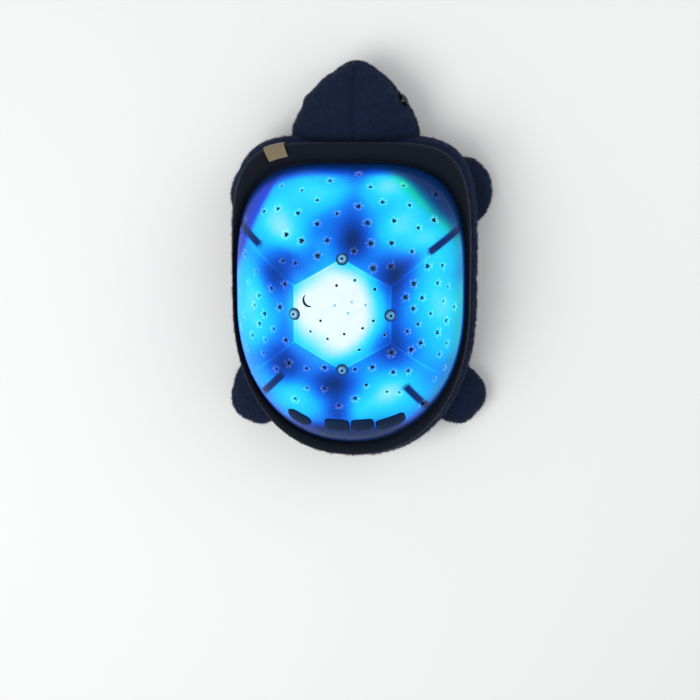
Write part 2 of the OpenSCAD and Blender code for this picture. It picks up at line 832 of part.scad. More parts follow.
pedestal_foot = base_z + block_h;
pedestal_wall = 2;
pedestal_lip = 3;
foot_flare = 4;
module light_pedestal() {
    h = light_z - pedestal_foot;
    r = pedestal_d / 2;
    color([0.85, 0.86, 0.88]) translate([0, shell_y, pedestal_foot])
        rotate_extrude()
            polygon([
                [r - pedestal_wall, 0], [r + foot_flare, 0], [r + foot_flare, pedestal_wall],
                [r, pedestal_wall + foot_flare], [r, h - pedestal_lip],
                [light_board_d / 2, h - pedestal_wall / 2], [light_board_d / 2, h],
                [r - pedestal_wall, h]
            ]);
}

module light_board() {
    color([0.92, 0.92, 0.9]) translate([0, shell_y, light_z]) cylinder(d = light_board_d, h = board_t);
}

// A lens with a round top and a small rim at its foot, turned a third of the way round for each light
led_rim_w = 0.4;
led_rim_h = 1;
module led(k) {
    translate([0, shell_y, light_z + board_t]) rotate(90 + 120 * k) translate([led_reach, 0, 0]) {
        cylinder(d = led_d + 2 * led_rim_w, h = led_rim_h);
        cylinder(d = led_d, h = led_h - led_d / 2);
        translate([0, 0, led_h - led_d / 2]) sphere(d = led_d);
    }
}

module red_light() { color([0.95, 0.25, 0.2, 0.8]) led(0); }
module green_light() { color([0.25, 0.9, 0.35, 0.8]) led(1); }
module blue_light() { color([0.25, 0.35, 0.95, 0.8]) led(2); }

// ---- Plush -----------------------------------------------------------------------------------------

// Body section outside: share of the body's outline at each height, from belly to seam
body_side = [
    [0.70, 0], [0.80, 0.04], [0.88, 0.15], [0.94, 0.28], [0.98, 0.43], [1.00, 0.62], [0.995, 0.80], [0.965, 1]
];
function body_level(z) = belly_z + (seam_z - belly_z) * z;
function round_ring(r_of, z) = [
    for (j = [0 : plush_sides - 1])
        let (a = 360 * j / plush_sides, r = r_of(a)) [r * cos(a), shell_y + r * sin(a), z]
];
body_skin = [for (k = [len(body_side) - 1 : -1 : 0])
    each round_ring(function (a) body_side[k][0] * body_r(a), body_level(body_side[k][1]))];

// The whole outer form of the body, which the head and feet are cut back to
module body_form() {
    ring_stack(body_skin, plush_sides);
}

// The stuffed wrap: the same outside, hollow for the base housing and open under the battery door
module body_plush() {
    skin_under = base_z - belly_z - soft_gap;
    color([0.05, 0.08, 0.17]) ring_hoop(concat(
        body_skin,
        round_ring(function (a) window_r(a), belly_z),
        round_ring(function (a) window_r(a), belly_z + skin_under),
        round_ring(function (a) shell_r(a, base_inset - soft_gap), belly_z + skin_under),
        round_ring(function (a) shell_r(a, base_top_inset - 2 * soft_gap), seam_z)
    ), plush_sides);
}

// The padded roll around the shell: it lies on the flange and hangs over its edge
collar_gap = 0.5;
collar_outer = 0.965;
function collar_r(s, a) =
    let (inner = shell_r(a, -collar_gap)) inner + (collar_outer * body_r(a) - inner) * s;
collar_section = [
    [0, 0], [0, 0.42], [0.16, 0.80], [0.42, 0.98], [0.66, 1], [0.88, 0.82], [1, 0.45], [1, 0.05]
];
on_flange = flange_z + flange_t;
function collar_level(h) = on_flange + (collar_top - on_flange) * h;
module collar_form() {
    ring_hoop(concat(
        [for (c = collar_section) each round_ring(function (a) collar_r(c[0], a), collar_level(c[1]))],
        round_ring(function (a) collar_outer * body_r(a), seam_z),
        round_ring(function (a) shell_r(a, -flange_w - soft_gap), seam_z),
        round_ring(function (a) shell_r(a, -flange_w - soft_gap), on_flange)
    ), plush_sides);
}

module collar() { color([0.02, 0.03, 0.06]) collar_form(); }

// A soft form along +X: half width and half height of its round sections, given along its length
soft_sides = 20;
module soft_form(stations) {
    rings = [
        for (s = stations)
            for (j = [0 : soft_sides - 1])
                let (a = 360 * j / soft_sides) [s[0], s[1] * cos(a), s[3] - s[2] * sin(a)]
    ];
    ring_stack(rings, soft_sides);
}

// Head: blunt at the neck, widest just ahead of the collar, drawing in to a soft point
neck_back = 66;
head_highest = 34;
neck_half_h = 12;
function head_h(d) =
    d < head_highest ? head_half_h * sqrt(1 - pow((head_highest - d) / head_highest, 2))
    : head_half_h - (head_half_h - neck_half_h) * pow((d - head_highest) / (neck_back - head_highest), 2);
head_steps = [neck_back, 59, head_widest, 44, 35, 26, 18, 11, 5.5, 2, tip_flat];
module head_form() {
    translate([0, shell_y, 0]) rotate(90 - head_turn)
        soft_form([for (d = head_steps) [head_reach - d, head_w(d), head_h(d), head_z]]);
}

module head_plush() {
    color([0.05, 0.08, 0.17]) difference() {
        head_form();
        body_form();
        collar_form();
        for (s = [-1, 1]) at_eye(s) translate([0, 0, -eye_sink]) cylinder(d = eye_d + 2 * fit, h = eye_d);
    }
}

// Eyes: turned domes let into the sides of the head
eye_back = 27;
eye_low = 0.25;
eye_sink = 1.6;
eye_dome_h = 2.4;
eye_lean = 75;
eye_forward = 30;
module at_eye(s) {
    d = eye_back;
    translate([0, shell_y, 0]) rotate(-head_turn)
        translate([s * head_w(d) * sqrt(1 - eye_low * eye_low), head_reach - d, head_z + eye_low * head_h(d)])
            rotate([0, s * eye_lean, s * eye_forward]) children();
}
module eye(s) {
    color([0.02, 0.02, 0.02]) at_eye(s) translate([0, 0, -eye_sink])
        intersection() {
            cylinder(d = eye_d, h = eye_sink + eye_dome_h);
            translate([0, 0, eye_sink + eye_dome_h - eye_d]) sphere(r = eye_d);
        }
}
module left_eye() { eye(-1); }
module right_eye() { eye(1); }

// Feet: paddles that swell towards the toes and are pressed flat under the sole
foot_steps = [-1, -0.85, -0.6, -0.3, 0, 0.3, 0.6, 0.82, 0.94, 0.995];
// The heel keeps some width where it goes under the body, and the pad is fuller than an ellipse
heel = 0.8;
fullness = 0.8;
roundness = 0.75;
function foot_swell(s) = 0.86 + 0.14 * s;
module foot_form(l, w) {
    mid = foot_t / 2 - sole_cut;
    soft_form([for (s = foot_steps)
        let (r = sqrt(1 - pow(s * (s < 0 ? heel : 1), 2)))
        [l * s, w * pow(r, roundness) * foot_swell(s), foot_t / 2 * pow(r, fullness), mid]]);
}

// Place of each foot's middle from the shell's centre, and the way its toes point: they splay unevenly
front_left_at = [-59, 74];
front_left_way = 164;
front_right_at = [64, 77.5];
front_right_way = 12;
rear_left_at = [-70.5, -66];
rear_left_way = 245;
rear_right_at = [65.5, -66];
rear_right_way = -38;
module foot(l, w, at, way) {
    color([0.05, 0.08, 0.17]) difference() {
        translate([at[0], shell_y + at[1], 0]) rotate(way) foot_form(l, w);
        body_form();
        // The sole is flat
        translate([-body_half_w * 2, -head_reach, -foot_t]) cube([body_half_w * 4, head_reach * 2, foot_t]);
    }
}
module front_left_foot() { foot(front_foot_l, front_foot_w, front_left_at, front_left_way); }
module front_right_foot() { foot(front_foot_l, front_foot_w, front_right_at, front_right_way); }
module rear_left_foot() { foot(rear_foot_l, rear_foot_w, rear_left_at, rear_left_way); }
module rear_right_foot() { foot(rear_foot_l, rear_foot_w, rear_right_at, rear_right_way); }

// A blank label, caught in the seam under the collar and turned up over it on one side of the head
label_a = 116;
label_sink = 0.5;
function label_point(a, c, lift) =
    let (r = collar_r(c[0], a) + lift * c[0])
    [r * cos(a), shell_y + r * sin(a), max(seam_z, collar_level(c[1]) + lift * (1 - c[0] / 2))];
module care_label() {
    half_a = asin(label_w / 2 / collar_r(1, label_a));
    seam_row = [1, (seam_z - on_flange) / (collar_top - on_flange)];
    rows = concat([for (c = collar_section) if (c[0] > label_bare) c], [seam_row]);
    color([0.78, 0.72, 0.58]) difference() {
        ring_stack([
            for (c = rows)
                each [
                    label_point(label_a + half_a, c, -label_sink), label_point(label_a - half_a, c, -label_sink),
                    label_point(label_a - half_a, c, label_t), label_point(label_a + half_a, c, label_t)
                ]
        ], 4);
        collar_form();
    }
}

shell_dome();
lens_studs();
base_housing();
case_screws();
battery_door();
door_screw();
battery_cells();
battery_springs();
contact_plates();
light_pedestal();
light_board();
red_light();
green_light();
blue_light();
control_board();
switches();
button_carrier();
power_button();
red_button();
green_button();
blue_button();
body_plush();
collar();
head_plush();
front_left_foot();
front_right_foot();
rear_left_foot();
rear_right_foot();
left_eye();
right_eye();
care_label();
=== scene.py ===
import math

import bpy
import numpy as np
from bpy.props import FloatProperty, FloatVectorProperty, PointerProperty
from mathutils import Matrix, Vector, geometry


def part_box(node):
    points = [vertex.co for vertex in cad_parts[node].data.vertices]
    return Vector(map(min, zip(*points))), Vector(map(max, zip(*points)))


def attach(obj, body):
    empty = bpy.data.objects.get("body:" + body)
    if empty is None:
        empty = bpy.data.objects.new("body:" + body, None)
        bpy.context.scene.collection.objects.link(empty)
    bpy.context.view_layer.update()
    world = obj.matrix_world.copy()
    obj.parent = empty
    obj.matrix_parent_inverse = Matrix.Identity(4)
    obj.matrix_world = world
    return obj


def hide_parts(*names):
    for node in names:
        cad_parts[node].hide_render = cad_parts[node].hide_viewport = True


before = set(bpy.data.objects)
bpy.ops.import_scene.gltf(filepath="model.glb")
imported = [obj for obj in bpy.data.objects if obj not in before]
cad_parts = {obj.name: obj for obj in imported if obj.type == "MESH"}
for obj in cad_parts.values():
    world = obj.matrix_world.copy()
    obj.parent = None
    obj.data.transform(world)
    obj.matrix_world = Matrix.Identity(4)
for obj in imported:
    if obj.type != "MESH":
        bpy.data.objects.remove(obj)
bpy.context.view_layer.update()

bl_info = {
    "name": "Turtle Night Light",
    "version": (1, 0, 0),
    "blender": (4, 5, 0),
    "location": "3D View > Sidebar > Night Light",
    "description": "Builds the plush turtle night light with its lit, star-pierced shell",
    "category": "Object",
}

MM = 0.001
GOLDEN = 137.508

# ---- Sizes, in metres. Places come from the frame's boxes ----------------------------------------

SHELL_LOW, SHELL_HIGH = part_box("shell_dome")
FLANGE_W = 3 * MM
FLANGE_T = 2 * MM
SKIRT_H = 4 * MM
SHELL_WALL = 2.2 * MM
SHELL_H = 62 * MM
SHELL_FRONT = 102 * MM
SHELL_HALF_W = (SHELL_HIGH.x - SHELL_LOW.x) / 2 - FLANGE_W
SHELL_Y = SHELL_HIGH.y - FLANGE_W - SHELL_FRONT
SHELL_REAR = SHELL_Y - SHELL_LOW.y - FLANGE_W
SHELL_FRONT_N = 3.6
SHELL_REAR_N = 2.15
RIM_Z = SHELL_LOW.z + SKIRT_H
FLANGE_TOP = RIM_Z - SKIRT_H + FLANGE_T

HEX_SIDE = 38.5 * MM
RIDGE_H = 0.5 * MM
RIDGE_HALF_W = 0.9 * MM
SPOKE_ANGLES = np.radians([90, 35, -35, -90, -145, 145])
SPOKE_END = 0.965
# The holes: how many places are tried, how far out they reach, how far they keep from a line and
# from another mark, and the half width and the upper edge, above the buttons' row, of the buttons'
# own field
STAR_TRIES = 150
STAR_REACH = 0.94
LINE_CLEAR = 3.4 * MM
MARK_CLEAR = 8.5 * MM
BUTTON_FIELD = (52 * MM, 16 * MM)
STAR_D = 6.2 * MM
STAR_SIZES = (1, 0.88, 0.76)
STAR_WAIST = 0.5
STAR_SPIN = 47
DOT_D = 2.4 * MM
SWAY = 1.8 * MM
SWAY_TURNS = (79, 53)
MOON_AT = np.array([-23.5, 9.7]) * MM
MOON_D = 9.5 * MM
MOON_BITE = 2.6 * MM
MOON_TURN = math.radians(218)
STUD_D = 8 * MM
STUD_SEAT = 0.9 * MM
STUD_SEAT_R = STUD_D / 2 + 0.4 * MM
# A stud's crown above its seat, its cap's radius of curvature, the edge under its cap, its stem,
# its pin hole's stops below the cap, and the radii at which its cap is drawn
STUD_CROWN = 2.6 * MM
STUD_CAP_R = STUD_D * 0.7
STUD_EDGE = 0.35 * MM
STUD_STEM_R = 2.3 * MM
STUD_STEM_L = 2.2 * MM
STUD_HOLE_R = 0.8 * MM
STUD_HOLE_STOPS = (-STUD_STEM_L, 1.6 * MM, STUD_CROWN - 0.3 * MM)
STUD_RADII = np.array([0.80, 0.86, 0.98, 1.2, 1.6, 2.1, 2.6, 3.1, 3.5, 3.8]) * MM
STUD_SIDES = 40
POSTS = np.array([[61, 46], [-61, 46], [45, -51], [-45, -51]]) * MM
POST_R = 3.75 * MM
# How deep under the dome's outer face, along its normal, a post's top lies
POST_DEPTH = 0.8 * SHELL_WALL
HALO_W = 0.34 * MM

BUTTON_LEAN = math.radians(40)
BUTTON_ROW = 83 * MM
BUTTON_SLOT = 0.5 * MM
BUTTON_PROUD = 1.8 * MM
BUTTON_CROWN_R = 46 * MM
# A button's rounded upper edge, the lip that holds it under the dome, its pin's radius, and how far
# its lip's lower face lies under the lowest point of the wall round it
BUTTON_FILLET = 1.5 * MM
BUTTON_LIP = 0.8 * MM
BUTTON_LIP_T = 1.2 * MM
BUTTON_PIN_R = 1.7 * MM
BUTTON_DEEP = 2.8 * MM
# Each button: its body, across, up the slope, width, length, turn, corner radius
BUTTONS = (
    ("power_button", -34.0, 0.2, 17.5, 11.0, -20, 5.5),
    ("red_button", -6.3, 0.0, 17.0, 11.5, 0, 3.0),
    ("green_button", 12.15, 0.0, 15.5, 11.5, 0, 3.0),
    ("blue_button", 32.1, -1.6, 20.0, 11.5, 9, 3.0),
)

BODY_LOW, BODY_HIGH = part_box("body_plush")
BODY_HALF_W = (BODY_HIGH.x - BODY_LOW.x) / 2
BODY_FRONT = BODY_HIGH.y - SHELL_Y
BODY_REAR = SHELL_Y - BODY_LOW.y
BODY_FRONT_N = 5
BODY_REAR_N = 2.25
BELLY_Z = BODY_LOW.z
SEAM_Z = BODY_HIGH.z
COLLAR_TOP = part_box("collar")[1].z
COLLAR_GAP = 0.5 * MM
COLLAR_OUTER = 0.965
WINDOW_HALF_W = 36 * MM
WINDOW_HALF_L = 44 * MM
WINDOW_N = 4

HEAD_REACH = 174 * MM
HEAD_HALF_W = 47 * MM
HEAD_HALF_H = 25 * MM
HEAD_Z = 30 * MM
HEAD_WAY = math.pi / 2 - math.radians(0.5)
HEAD_SHARP = 1.5
HEAD_WIDEST = 50 * MM
HEAD_HIGHEST = 34 * MM
NECK_BACK = 66 * MM
NECK_HALF_H = 12 * MM
HEAD_SEAM_DEPTH = 1.4 * MM

# The cloth simulation: the pressure inside, how stiff the cloth is, how much longer it is cut than
# its shape, how far its free points start inside the shape, its number of frames, its stiffness in
# bending, the furthest that a point may move, and from where to where in a seam's depth a point is
# held
SIM_PRESSURE = 150
SIM_STIFFNESS = 4
SIM_SLACK = 0.05
SIM_DRAWN_IN = 0.3 * MM
SIM_FRAMES = 20
SIM_BENDING = 0.05
SIM_CAP = 3.5 * MM
SEAM_HOLDS = (0.3, 0.7)

FOOT_T = 27 * MM
SOLE_CUT = 0.5 * MM
FOOT_SEAM_DEPTH = 1.1 * MM
# Each foot: its name, its middle's place from the shell's centre, the way its toes point, and its
# half length and half width
FEET = (
    ("front_left_foot", -59.0, 74, 164, 37, 31),
    ("front_right_foot", 64.0, 77.5, 12, 37, 31),
    ("rear_left_foot", -70.5, -66, 245, 36, 27),
    ("rear_right_foot", 65.5, -66, -38, 36, 27),
)


# ---- Settings that a user would change -----------------------------------------------------------

def colour(name, description, default):
    return FloatVectorProperty(name=name, description=description, subtype="COLOR", size=3,
                               min=0, max=1, default=default)


class ShellSettings(bpy.types.PropertyGroup):
    glow: FloatProperty(name="Glow", default=0.92, min=0, max=3,
                        description="Strength of the light that shows through the shell")
    grid: FloatProperty(name="Grid", description="Distance between the points of the dome's mesh",
                        default=1.5 * MM, min=0.5 * MM, max=5 * MM, unit="LENGTH")
    plastic: colour("Plastic", "Colour of the shell's plastic where no light shows",
                    (0.003, 0.024, 0.12))


class PlushSettings(bpy.types.PropertyGroup):
    fur: colour("Plush", "Colour of the short-pile plush", (0.0056, 0.0118, 0.035))
    velour: colour("Collar", "Colour of the smooth collar", (0.0027, 0.0045, 0.0100))
    tape: colour("Label", "Colour of the blank label", (0.20, 0.155, 0.08))
    pile: FloatProperty(name="Pile", description="Length of the plush's pile", default=2.0 * MM,
                        min=0, max=6 * MM, unit="LENGTH")
    density: FloatProperty(name="Density", description="Tufts of pile on a square millimetre",
                           default=1.5, min=0, max=4)


class CaseSettings(bpy.types.PropertyGroup):
    button: colour("Buttons", "Colour of the button caps", (0.003, 0.016, 0.050))
    housing: colour("Housing", "Colour of the base housing and its door", (0.022, 0.026, 0.040))


class StudioSettings(bpy.types.PropertyGroup):
    floor: colour("Floor", "Colour of the studio floor", (0.80, 0.80, 0.79))
    lamp: FloatProperty(name="Key lamp", description="Power of the large soft lamp, in watts",
                        default=9.0, min=0, max=100)
    sky: FloatProperty(name="Fill", description="Strength of the even light from all round",
                       default=0.62, min=0, max=2)


# ---- Outlines ------------------------------------------------------------------------------------

def oval(angle, half_w, front, rear, n_front, n_rear):
    """Radius at an angle: (|cos / half_w|^n + |sin / length|^n)^(-1/n), with each end's own length
    and n."""
    ahead = np.sin(angle) >= 0
    n = np.where(ahead, n_front, n_rear)
    length = np.where(ahead, front, rear)
    return (np.abs(np.cos(angle) / half_w) ** n + np.abs(np.sin(angle) / length) ** n) ** (-1 / n)


def turns(count):
    """Even angles all the way round."""
    return 2 * math.pi * np.arange(count) / count


def polar(angle, radius=1.0):
    """Plane points at those angles and radii."""
    return np.stack([radius * np.cos(angle), radius * np.sin(angle)], -1)


def level_ring(angle, reach, z):
    """Points at those angles and reaches in plan from the shell's centre, at height z."""
    z = np.broadcast_to(z, np.shape(reach * angle))
    return np.stack([reach * np.cos(angle), SHELL_Y + reach * np.sin(angle), z], -1)


def plan_of(points):
    """The points' places in plan from the shell's centre."""
    return points[..., :2] - [0, SHELL_Y]


def in_plan(points):
    """Each point's angle and reach in plan from the shell's centre."""
    plan = plan_of(points)
    return np.arctan2(plan[..., 1], plan[..., 0]), np.linalg.norm(plan, axis=-1)


def turned_by(points, angle):
    """Plane points turned about the origin."""
    cos, sin = math.cos(angle), math.sin(angle)
    return points @ np.array([[cos, sin], [-sin, cos]])


def shell_oval(angle, t=1.0, inset=0.0):
    """The shell's outline, whose squareness falls to an ellipse's at the crown, where t is 0."""
    return oval(angle, SHELL_HALF_W - inset, SHELL_FRONT - inset, SHELL_REAR - inset,
                2 + (SHELL_FRONT_N - 2) * t, 2 + (SHELL_REAR_N - 2) * t)


def body_oval(angle):
    """The stuffed body's outline at its widest level."""
    return oval(angle, BODY_HALF_W, BODY_FRONT, BODY_REAR, BODY_FRONT_N, BODY_REAR_N)


def window_oval(angle):
    """The outline of the opening in the belly."""
    return oval(angle, WINDOW_HALF_W, WINDOW_HALF_L, WINDOW_HALF_L, WINDOW_N, WINDOW_N)


def dome(chart):
    """Points of the dome for chart points. A chart point's length is the share of a quarter turn
    from the crown to the rim, its angle is the angle in plan, and height and reach are that turn's
    cosine and sine."""
    reach = np.hypot(chart[..., 0], chart[..., 1])
    angle = np.arctan2(chart[..., 1], chart[..., 0])
    t = np.sin(reach * math.pi / 2)
    height = SHELL_H * np.cos(reach * math.pi / 2)
    return level_ring(angle, t * shell_oval(angle, t), RIM_Z + height)


def dome_normal(chart, step=1e-3):
    """Outward unit normals of the dome: the cross product of central differences over the chart."""
    along_x = dome(chart + [step, 0]) - dome(chart - [step, 0])
    along_y = dome(chart + [0, step]) - dome(chart - [0, step])
    return unit(np.cross(along_x, along_y))


def chart_of(plan, rounds=12):
    """Chart points over plan points, which are relative to the shell's centre: the reach t is found
    by dividing by the outline at the last t, over and over."""
    angle = np.arctan2(plan[..., 1], plan[..., 0])
    span = np.hypot(plan[..., 0], plan[..., 1])
    t = np.full(span.shape, 0.7)
    for _ in range(rounds):
        t = np.minimum(1, span / shell_oval(angle, t))
    return polar(angle, np.arcsin(t) / (math.pi / 2))


def unit(v):
    """The vectors at length 1."""
    return v / np.maximum(np.linalg.norm(v, axis=-1, keepdims=True), 1e-12)


# ---- Mesh helpers --------------------------------------------------------------------------------

def grid_quads(rows, columns, joined=False):
    """Quads between neighbouring rows of a grid whose columns run round and close. joined closes
    the rows as well."""
    here = np.arange(rows * columns).reshape(rows, columns)
    after = np.roll(here, -1, 1)
    if not joined:
        return np.stack([here[:-1], after[:-1], after[1:], here[1:]], -1).reshape(-1, 4)
    return np.stack([here, after, np.roll(after, -1, 0), np.roll(here, -1, 0)], -1).reshape(-1, 4)


def loft(rings):
    """A closed surface through rings (k, n, 3), with a fan of triangles over each end."""
    rows, columns = rings.shape[:2]
    points = np.concatenate([rings.reshape(-1, 3), rings[:1].mean(1), rings[-1:].mean(1)])
    here = np.arange(columns)
    after = np.roll(here, -1)
    first, last = rows * columns, rows * columns + 1
    top = (rows - 1) * columns
    faces = grid_quads(rows, columns).tolist()
    faces += np.stack([after, here, np.full(columns, first)], -1).tolist()
    faces += np.stack([top + here, top + after, np.full(columns, last)], -1).tolist()
    return points, faces


def hoop(rings):
    """A closed ring-shaped surface through rings (k, n, 3) of points."""
    return rings.reshape(-1, 3), grid_quads(*rings.shape[:2], joined=True).tolist()


def joined(parts):
    """Several (points, faces) as one."""
    points, faces, start = [], [], 0
    for p, f in parts:
        points.append(p)
        faces += [[i + start for i in face] for face in f]
        start += len(p)
    return np.concatenate(points), faces


def fans(faces):
    """Triangles that fan out from each face's first corner, as rows of three point numbers."""
    return np.array([(f[0], f[k], f[k + 1]) for f in faces for k in range(1, len(f) - 1)])


def volume_sign(points, faces):
    """The sign of a closed surface's volume: the sum of a . (b x c) / 6 over its triangles."""
    a, b, c = (points[column] for column in fans(faces).T)
    return np.sign(np.einsum("ij,ij->i", a, np.cross(b, c)).sum())


def piece(name, shape, body, material, replaced=(), sharp=None, colours=None,
          values=None):
    """A mesh piece that rides on a body. sharp is the angle from which an edge is hard, colours and
    values are named arrays of one colour or number to a point."""
    points, faces = shape
    if volume_sign(points, faces) < 0:
        faces = [face[::-1] for face in faces]
    mesh = bpy.data.meshes.new(name)
    mesh.from_pydata(points, [], faces, shade_flat=False)
    if sharp is not None:
        mesh.set_sharp_from_angle(angle=math.radians(sharp))
    for key, rows in (colours or {}).items():
        layer = mesh.attributes.new(key, "FLOAT_COLOR", "POINT")
        rgba = np.concatenate([rows, np.ones((len(rows), 1))], 1)
        layer.data.foreach_set("color", rgba.astype(np.float32).ravel())
    for key, rows in (values or {}).items():
        layer = mesh.attributes.new(key, "FLOAT", "POINT")
        layer.data.foreach_set("value", np.asarray(rows, np.float32))
    mesh.materials.append(material)
    obj = bpy.data.objects.new(name, mesh)
    bpy.context.scene.collection.objects.link(obj)
    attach(obj, body)
    if replaced:
        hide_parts(*replaced)
    return obj


def mesh_arrays(mesh):
    """A mesh's points as an array, and its faces as lists."""
    points = np.empty(3 * len(mesh.vertices))
    mesh.vertices.foreach_get("co", points)
    return points.reshape(-1, 3), [list(face.vertices) for face in mesh.polygons]


def ripple(points, size, seed, waves=9):
    """A smooth, uneven field, mostly between -1 and 1: the sum of sine waves in seeded directions,
    over the square root of their number."""
    rng = np.random.default_rng(seed)
    ways = unit(rng.normal(size=(waves, 3))) * rng.uniform(0.7, 1.4, (waves, 1)) * 2 * math.pi
    start = rng.uniform(0, 2 * math.pi, waves)
    return np.sin(points @ (ways / size).T + start).sum(-1) / math.sqrt(waves)


def groove(distance, width):
    """Depth, from 0 to 1, of a soft valley at that distance from its middle line."""
    return np.exp(-(distance / width) ** 2)


def curve_through(stops, count):
    """count points on the smooth curve through the stops: a cubic whose slope at a stop is half the
    step between its neighbours."""
    stops = np.asarray(stops, float)
    padded = np.concatenate([2 * stops[:1] - stops[1:2], stops, 2 * stops[-1:] - stops[-2:-1]])
    s = np.linspace(0, len(stops) - 1, count)
    k = np.minimum(s.astype(int), len(stops) - 2)
    u = (s - k)[:, None]
    a, b, c, d = (padded[k + j] for j in range(4))
    return 0.5 * (2 * b + (c - a) * u + (2 * a - 5 * b + 4 * c - d) * u ** 2
                  + (3 * b - a - 3 * c + d) * u ** 3)


# ---- Material helpers ----------------------------------------------------------------------------

class Nodes:
    """Short names for adding and linking the nodes of one tree."""

    def __init__(self, tree):
        self.tree = tree
        self.shader = tree.nodes.get("Principled BSDF")

    def add(self, kind, operation=None, **values):
        node = self.tree.nodes.new(kind)
        if operation:
            node.operation = operation
        for key, value in values.items():
            setattr(node, key, value)
        return node

    def link(self, a, b):
        self.tree.links.new(a, b)

    def math(self, operation, a, b):
        node = self.add("ShaderNodeMath", operation)
        for socket, value in zip(node.inputs, (a, b)):
            if isinstance(value, bpy.types.NodeSocket):
                self.link(value, socket)
            else:
                socket.default_value = value
        return node.outputs[0]

    def noise(self, vector, scale, detail=3.0, roughness=0.55):
        node = self.add("ShaderNodeTexNoise")
        node.inputs["Scale"].default_value = scale
        node.inputs["Detail"].default_value = detail
        node.inputs["Roughness"].default_value = roughness
        self.link(vector, node.inputs["Vector"])
        return node.outputs["Fac"]

    def mix(self, factor, a, b, blend="MIX"):
        node = self.add("ShaderNodeMix", data_type="RGBA", blend_type=blend)
        for socket, value in zip((node.inputs[0], node.inputs[6], node.inputs[7]), (factor, a, b)):
            if isinstance(value, bpy.types.NodeSocket):
                self.link(value, socket)
            else:
                socket.default_value = value
        return node.outputs[2]

    def span(self, value, low, high, way, **kind):
        """A Map Range whose From or To, as way says, is low to high, and the other 0 to 1."""
        node = self.add("ShaderNodeMapRange", **kind)
        node.inputs[way + " Min"].default_value = low
        node.inputs[way + " Max"].default_value = high
        self.link(value, node.inputs["Value"])
        return node.outputs[0]

    def spread(self, value, low, high):
        """value from 0..1 to low..high."""
        return self.span(value, low, high, "To")

    def place(self):
        """Object coordinates."""
        return self.add("ShaderNodeTexCoord").outputs["Object"]

    def attribute(self, name, output="Color"):
        """One of the mesh's own named colours, or as Fac one of its numbers."""
        return self.add("ShaderNodeAttribute", attribute_name=name).outputs[output]

    def feed(self, **sockets):
        """Links sockets to the shader's inputs, which are named with _ for a space."""
        for name, socket in sockets.items():
            self.link(socket, self.shader.inputs[name.replace("_", " ")])

    def set(self, **values):
        """Sets the shader's own inputs, which are named with _ for a space."""
        for name, value in values.items():
            self.shader.inputs[name.replace("_", " ")].default_value = value

    def blend(self, factor, a, b, output):
        """Mixes two shaders into one of the tree's outputs."""
        node = self.add("ShaderNodeMixShader")
        for socket, source in zip(node.inputs, (factor, a, b)):
            self.link(source, socket)
        self.link(node.outputs[0], self.tree.nodes[output].inputs["Surface"])

    def relief(self, height, strength, distance):
        """Bumps from a height, on the shader's normal."""
        node = self.add("ShaderNodeBump")
        node.inputs["Strength"].default_value = strength
        node.inputs["Distance"].default_value = distance
        self.link(height, node.inputs["Height"])
        self.feed(Normal=node.outputs["Normal"])


def pattern_group(name, build):
    """A node group that takes a vector and a scale, and puts out Height and Shade, about 0 to 1."""
    found = bpy.data.node_groups.get(name)
    if found:
        return found
    tree = bpy.data.node_groups.new(name, "ShaderNodeTree")
    for socket, way, kind in (("Vector", "INPUT", "Vector"), ("Scale", "INPUT", "Float"),
                              ("Height", "OUTPUT", "Float"), ("Shade", "OUTPUT", "Float")):
        tree.interface.new_socket(socket, in_out=way, socket_type="NodeSocket" + kind)
    n = Nodes(tree)
    inlet, outlet = n.add("NodeGroupInput"), n.add("NodeGroupOutput")
    scaled = n.add("ShaderNodeVectorMath", "SCALE")
    n.link(inlet.outputs["Vector"], scaled.inputs[0])
    n.link(inlet.outputs["Scale"], scaled.inputs["Scale"])
    height, shade = build(n, scaled.outputs[0])
    n.link(height, outlet.inputs["Height"])
    n.link(shade, outlet.inputs["Shade"])
    return tree


def moulded_pattern(n, vector):
    """Fine spark-eroded grain, with faint broad patches."""
    fine = n.noise(vector, 1.0, 4.0, 0.7)
    broad = n.noise(vector, 0.03, 2.0)
    return fine, n.math("ADD", n.math("MULTIPLY", fine, 0.35), n.math("MULTIPLY", broad, 0.65))


def plush_pattern(n, vector):
    """Clumps of pile over finer tufts."""
    tufts = n.noise(vector, 1.0, 3.0, 0.65)
    clumps = n.noise(vector, 0.16, 2.0)
    brushed = n.noise(vector, 0.035, 2.0)
    return (n.math("ADD", n.math("MULTIPLY", tufts, 0.7), n.math("MULTIPLY", clumps, 0.3)),
            n.math("ADD", n.math("MULTIPLY", clumps, 0.55), n.math("MULTIPLY", brushed, 0.45)))


def weave_pattern(n, vector):
    """Two crossed sets of threads."""
    sets = []
    for direction in ("X", "Y"):
        wave = n.add("ShaderNodeTexWave", bands_direction=direction)
        wave.inputs["Scale"].default_value = 1.0
        n.link(vector, wave.inputs["Vector"])
        sets.append(wave.outputs["Fac"])
    crossed = n.math("MAXIMUM", sets[0], sets[1])
    uneven = n.noise(vector, 0.2)
    return crossed, n.math("ADD", n.math("MULTIPLY", crossed, 0.6), n.math("MULTIPLY", uneven, 0.4))


def brushed_pattern(n, vector):
    """Long fine scratches across the vector's first axis."""
    stretched = n.add("ShaderNodeVectorMath", "MULTIPLY")
    stretched.inputs[1].default_value = (1.0, 0.04, 0.3)
    n.link(vector, stretched.inputs[0])
    lines = n.noise(stretched.outputs[0], 1.0, 4.0)
    return lines, n.noise(vector, 0.1)


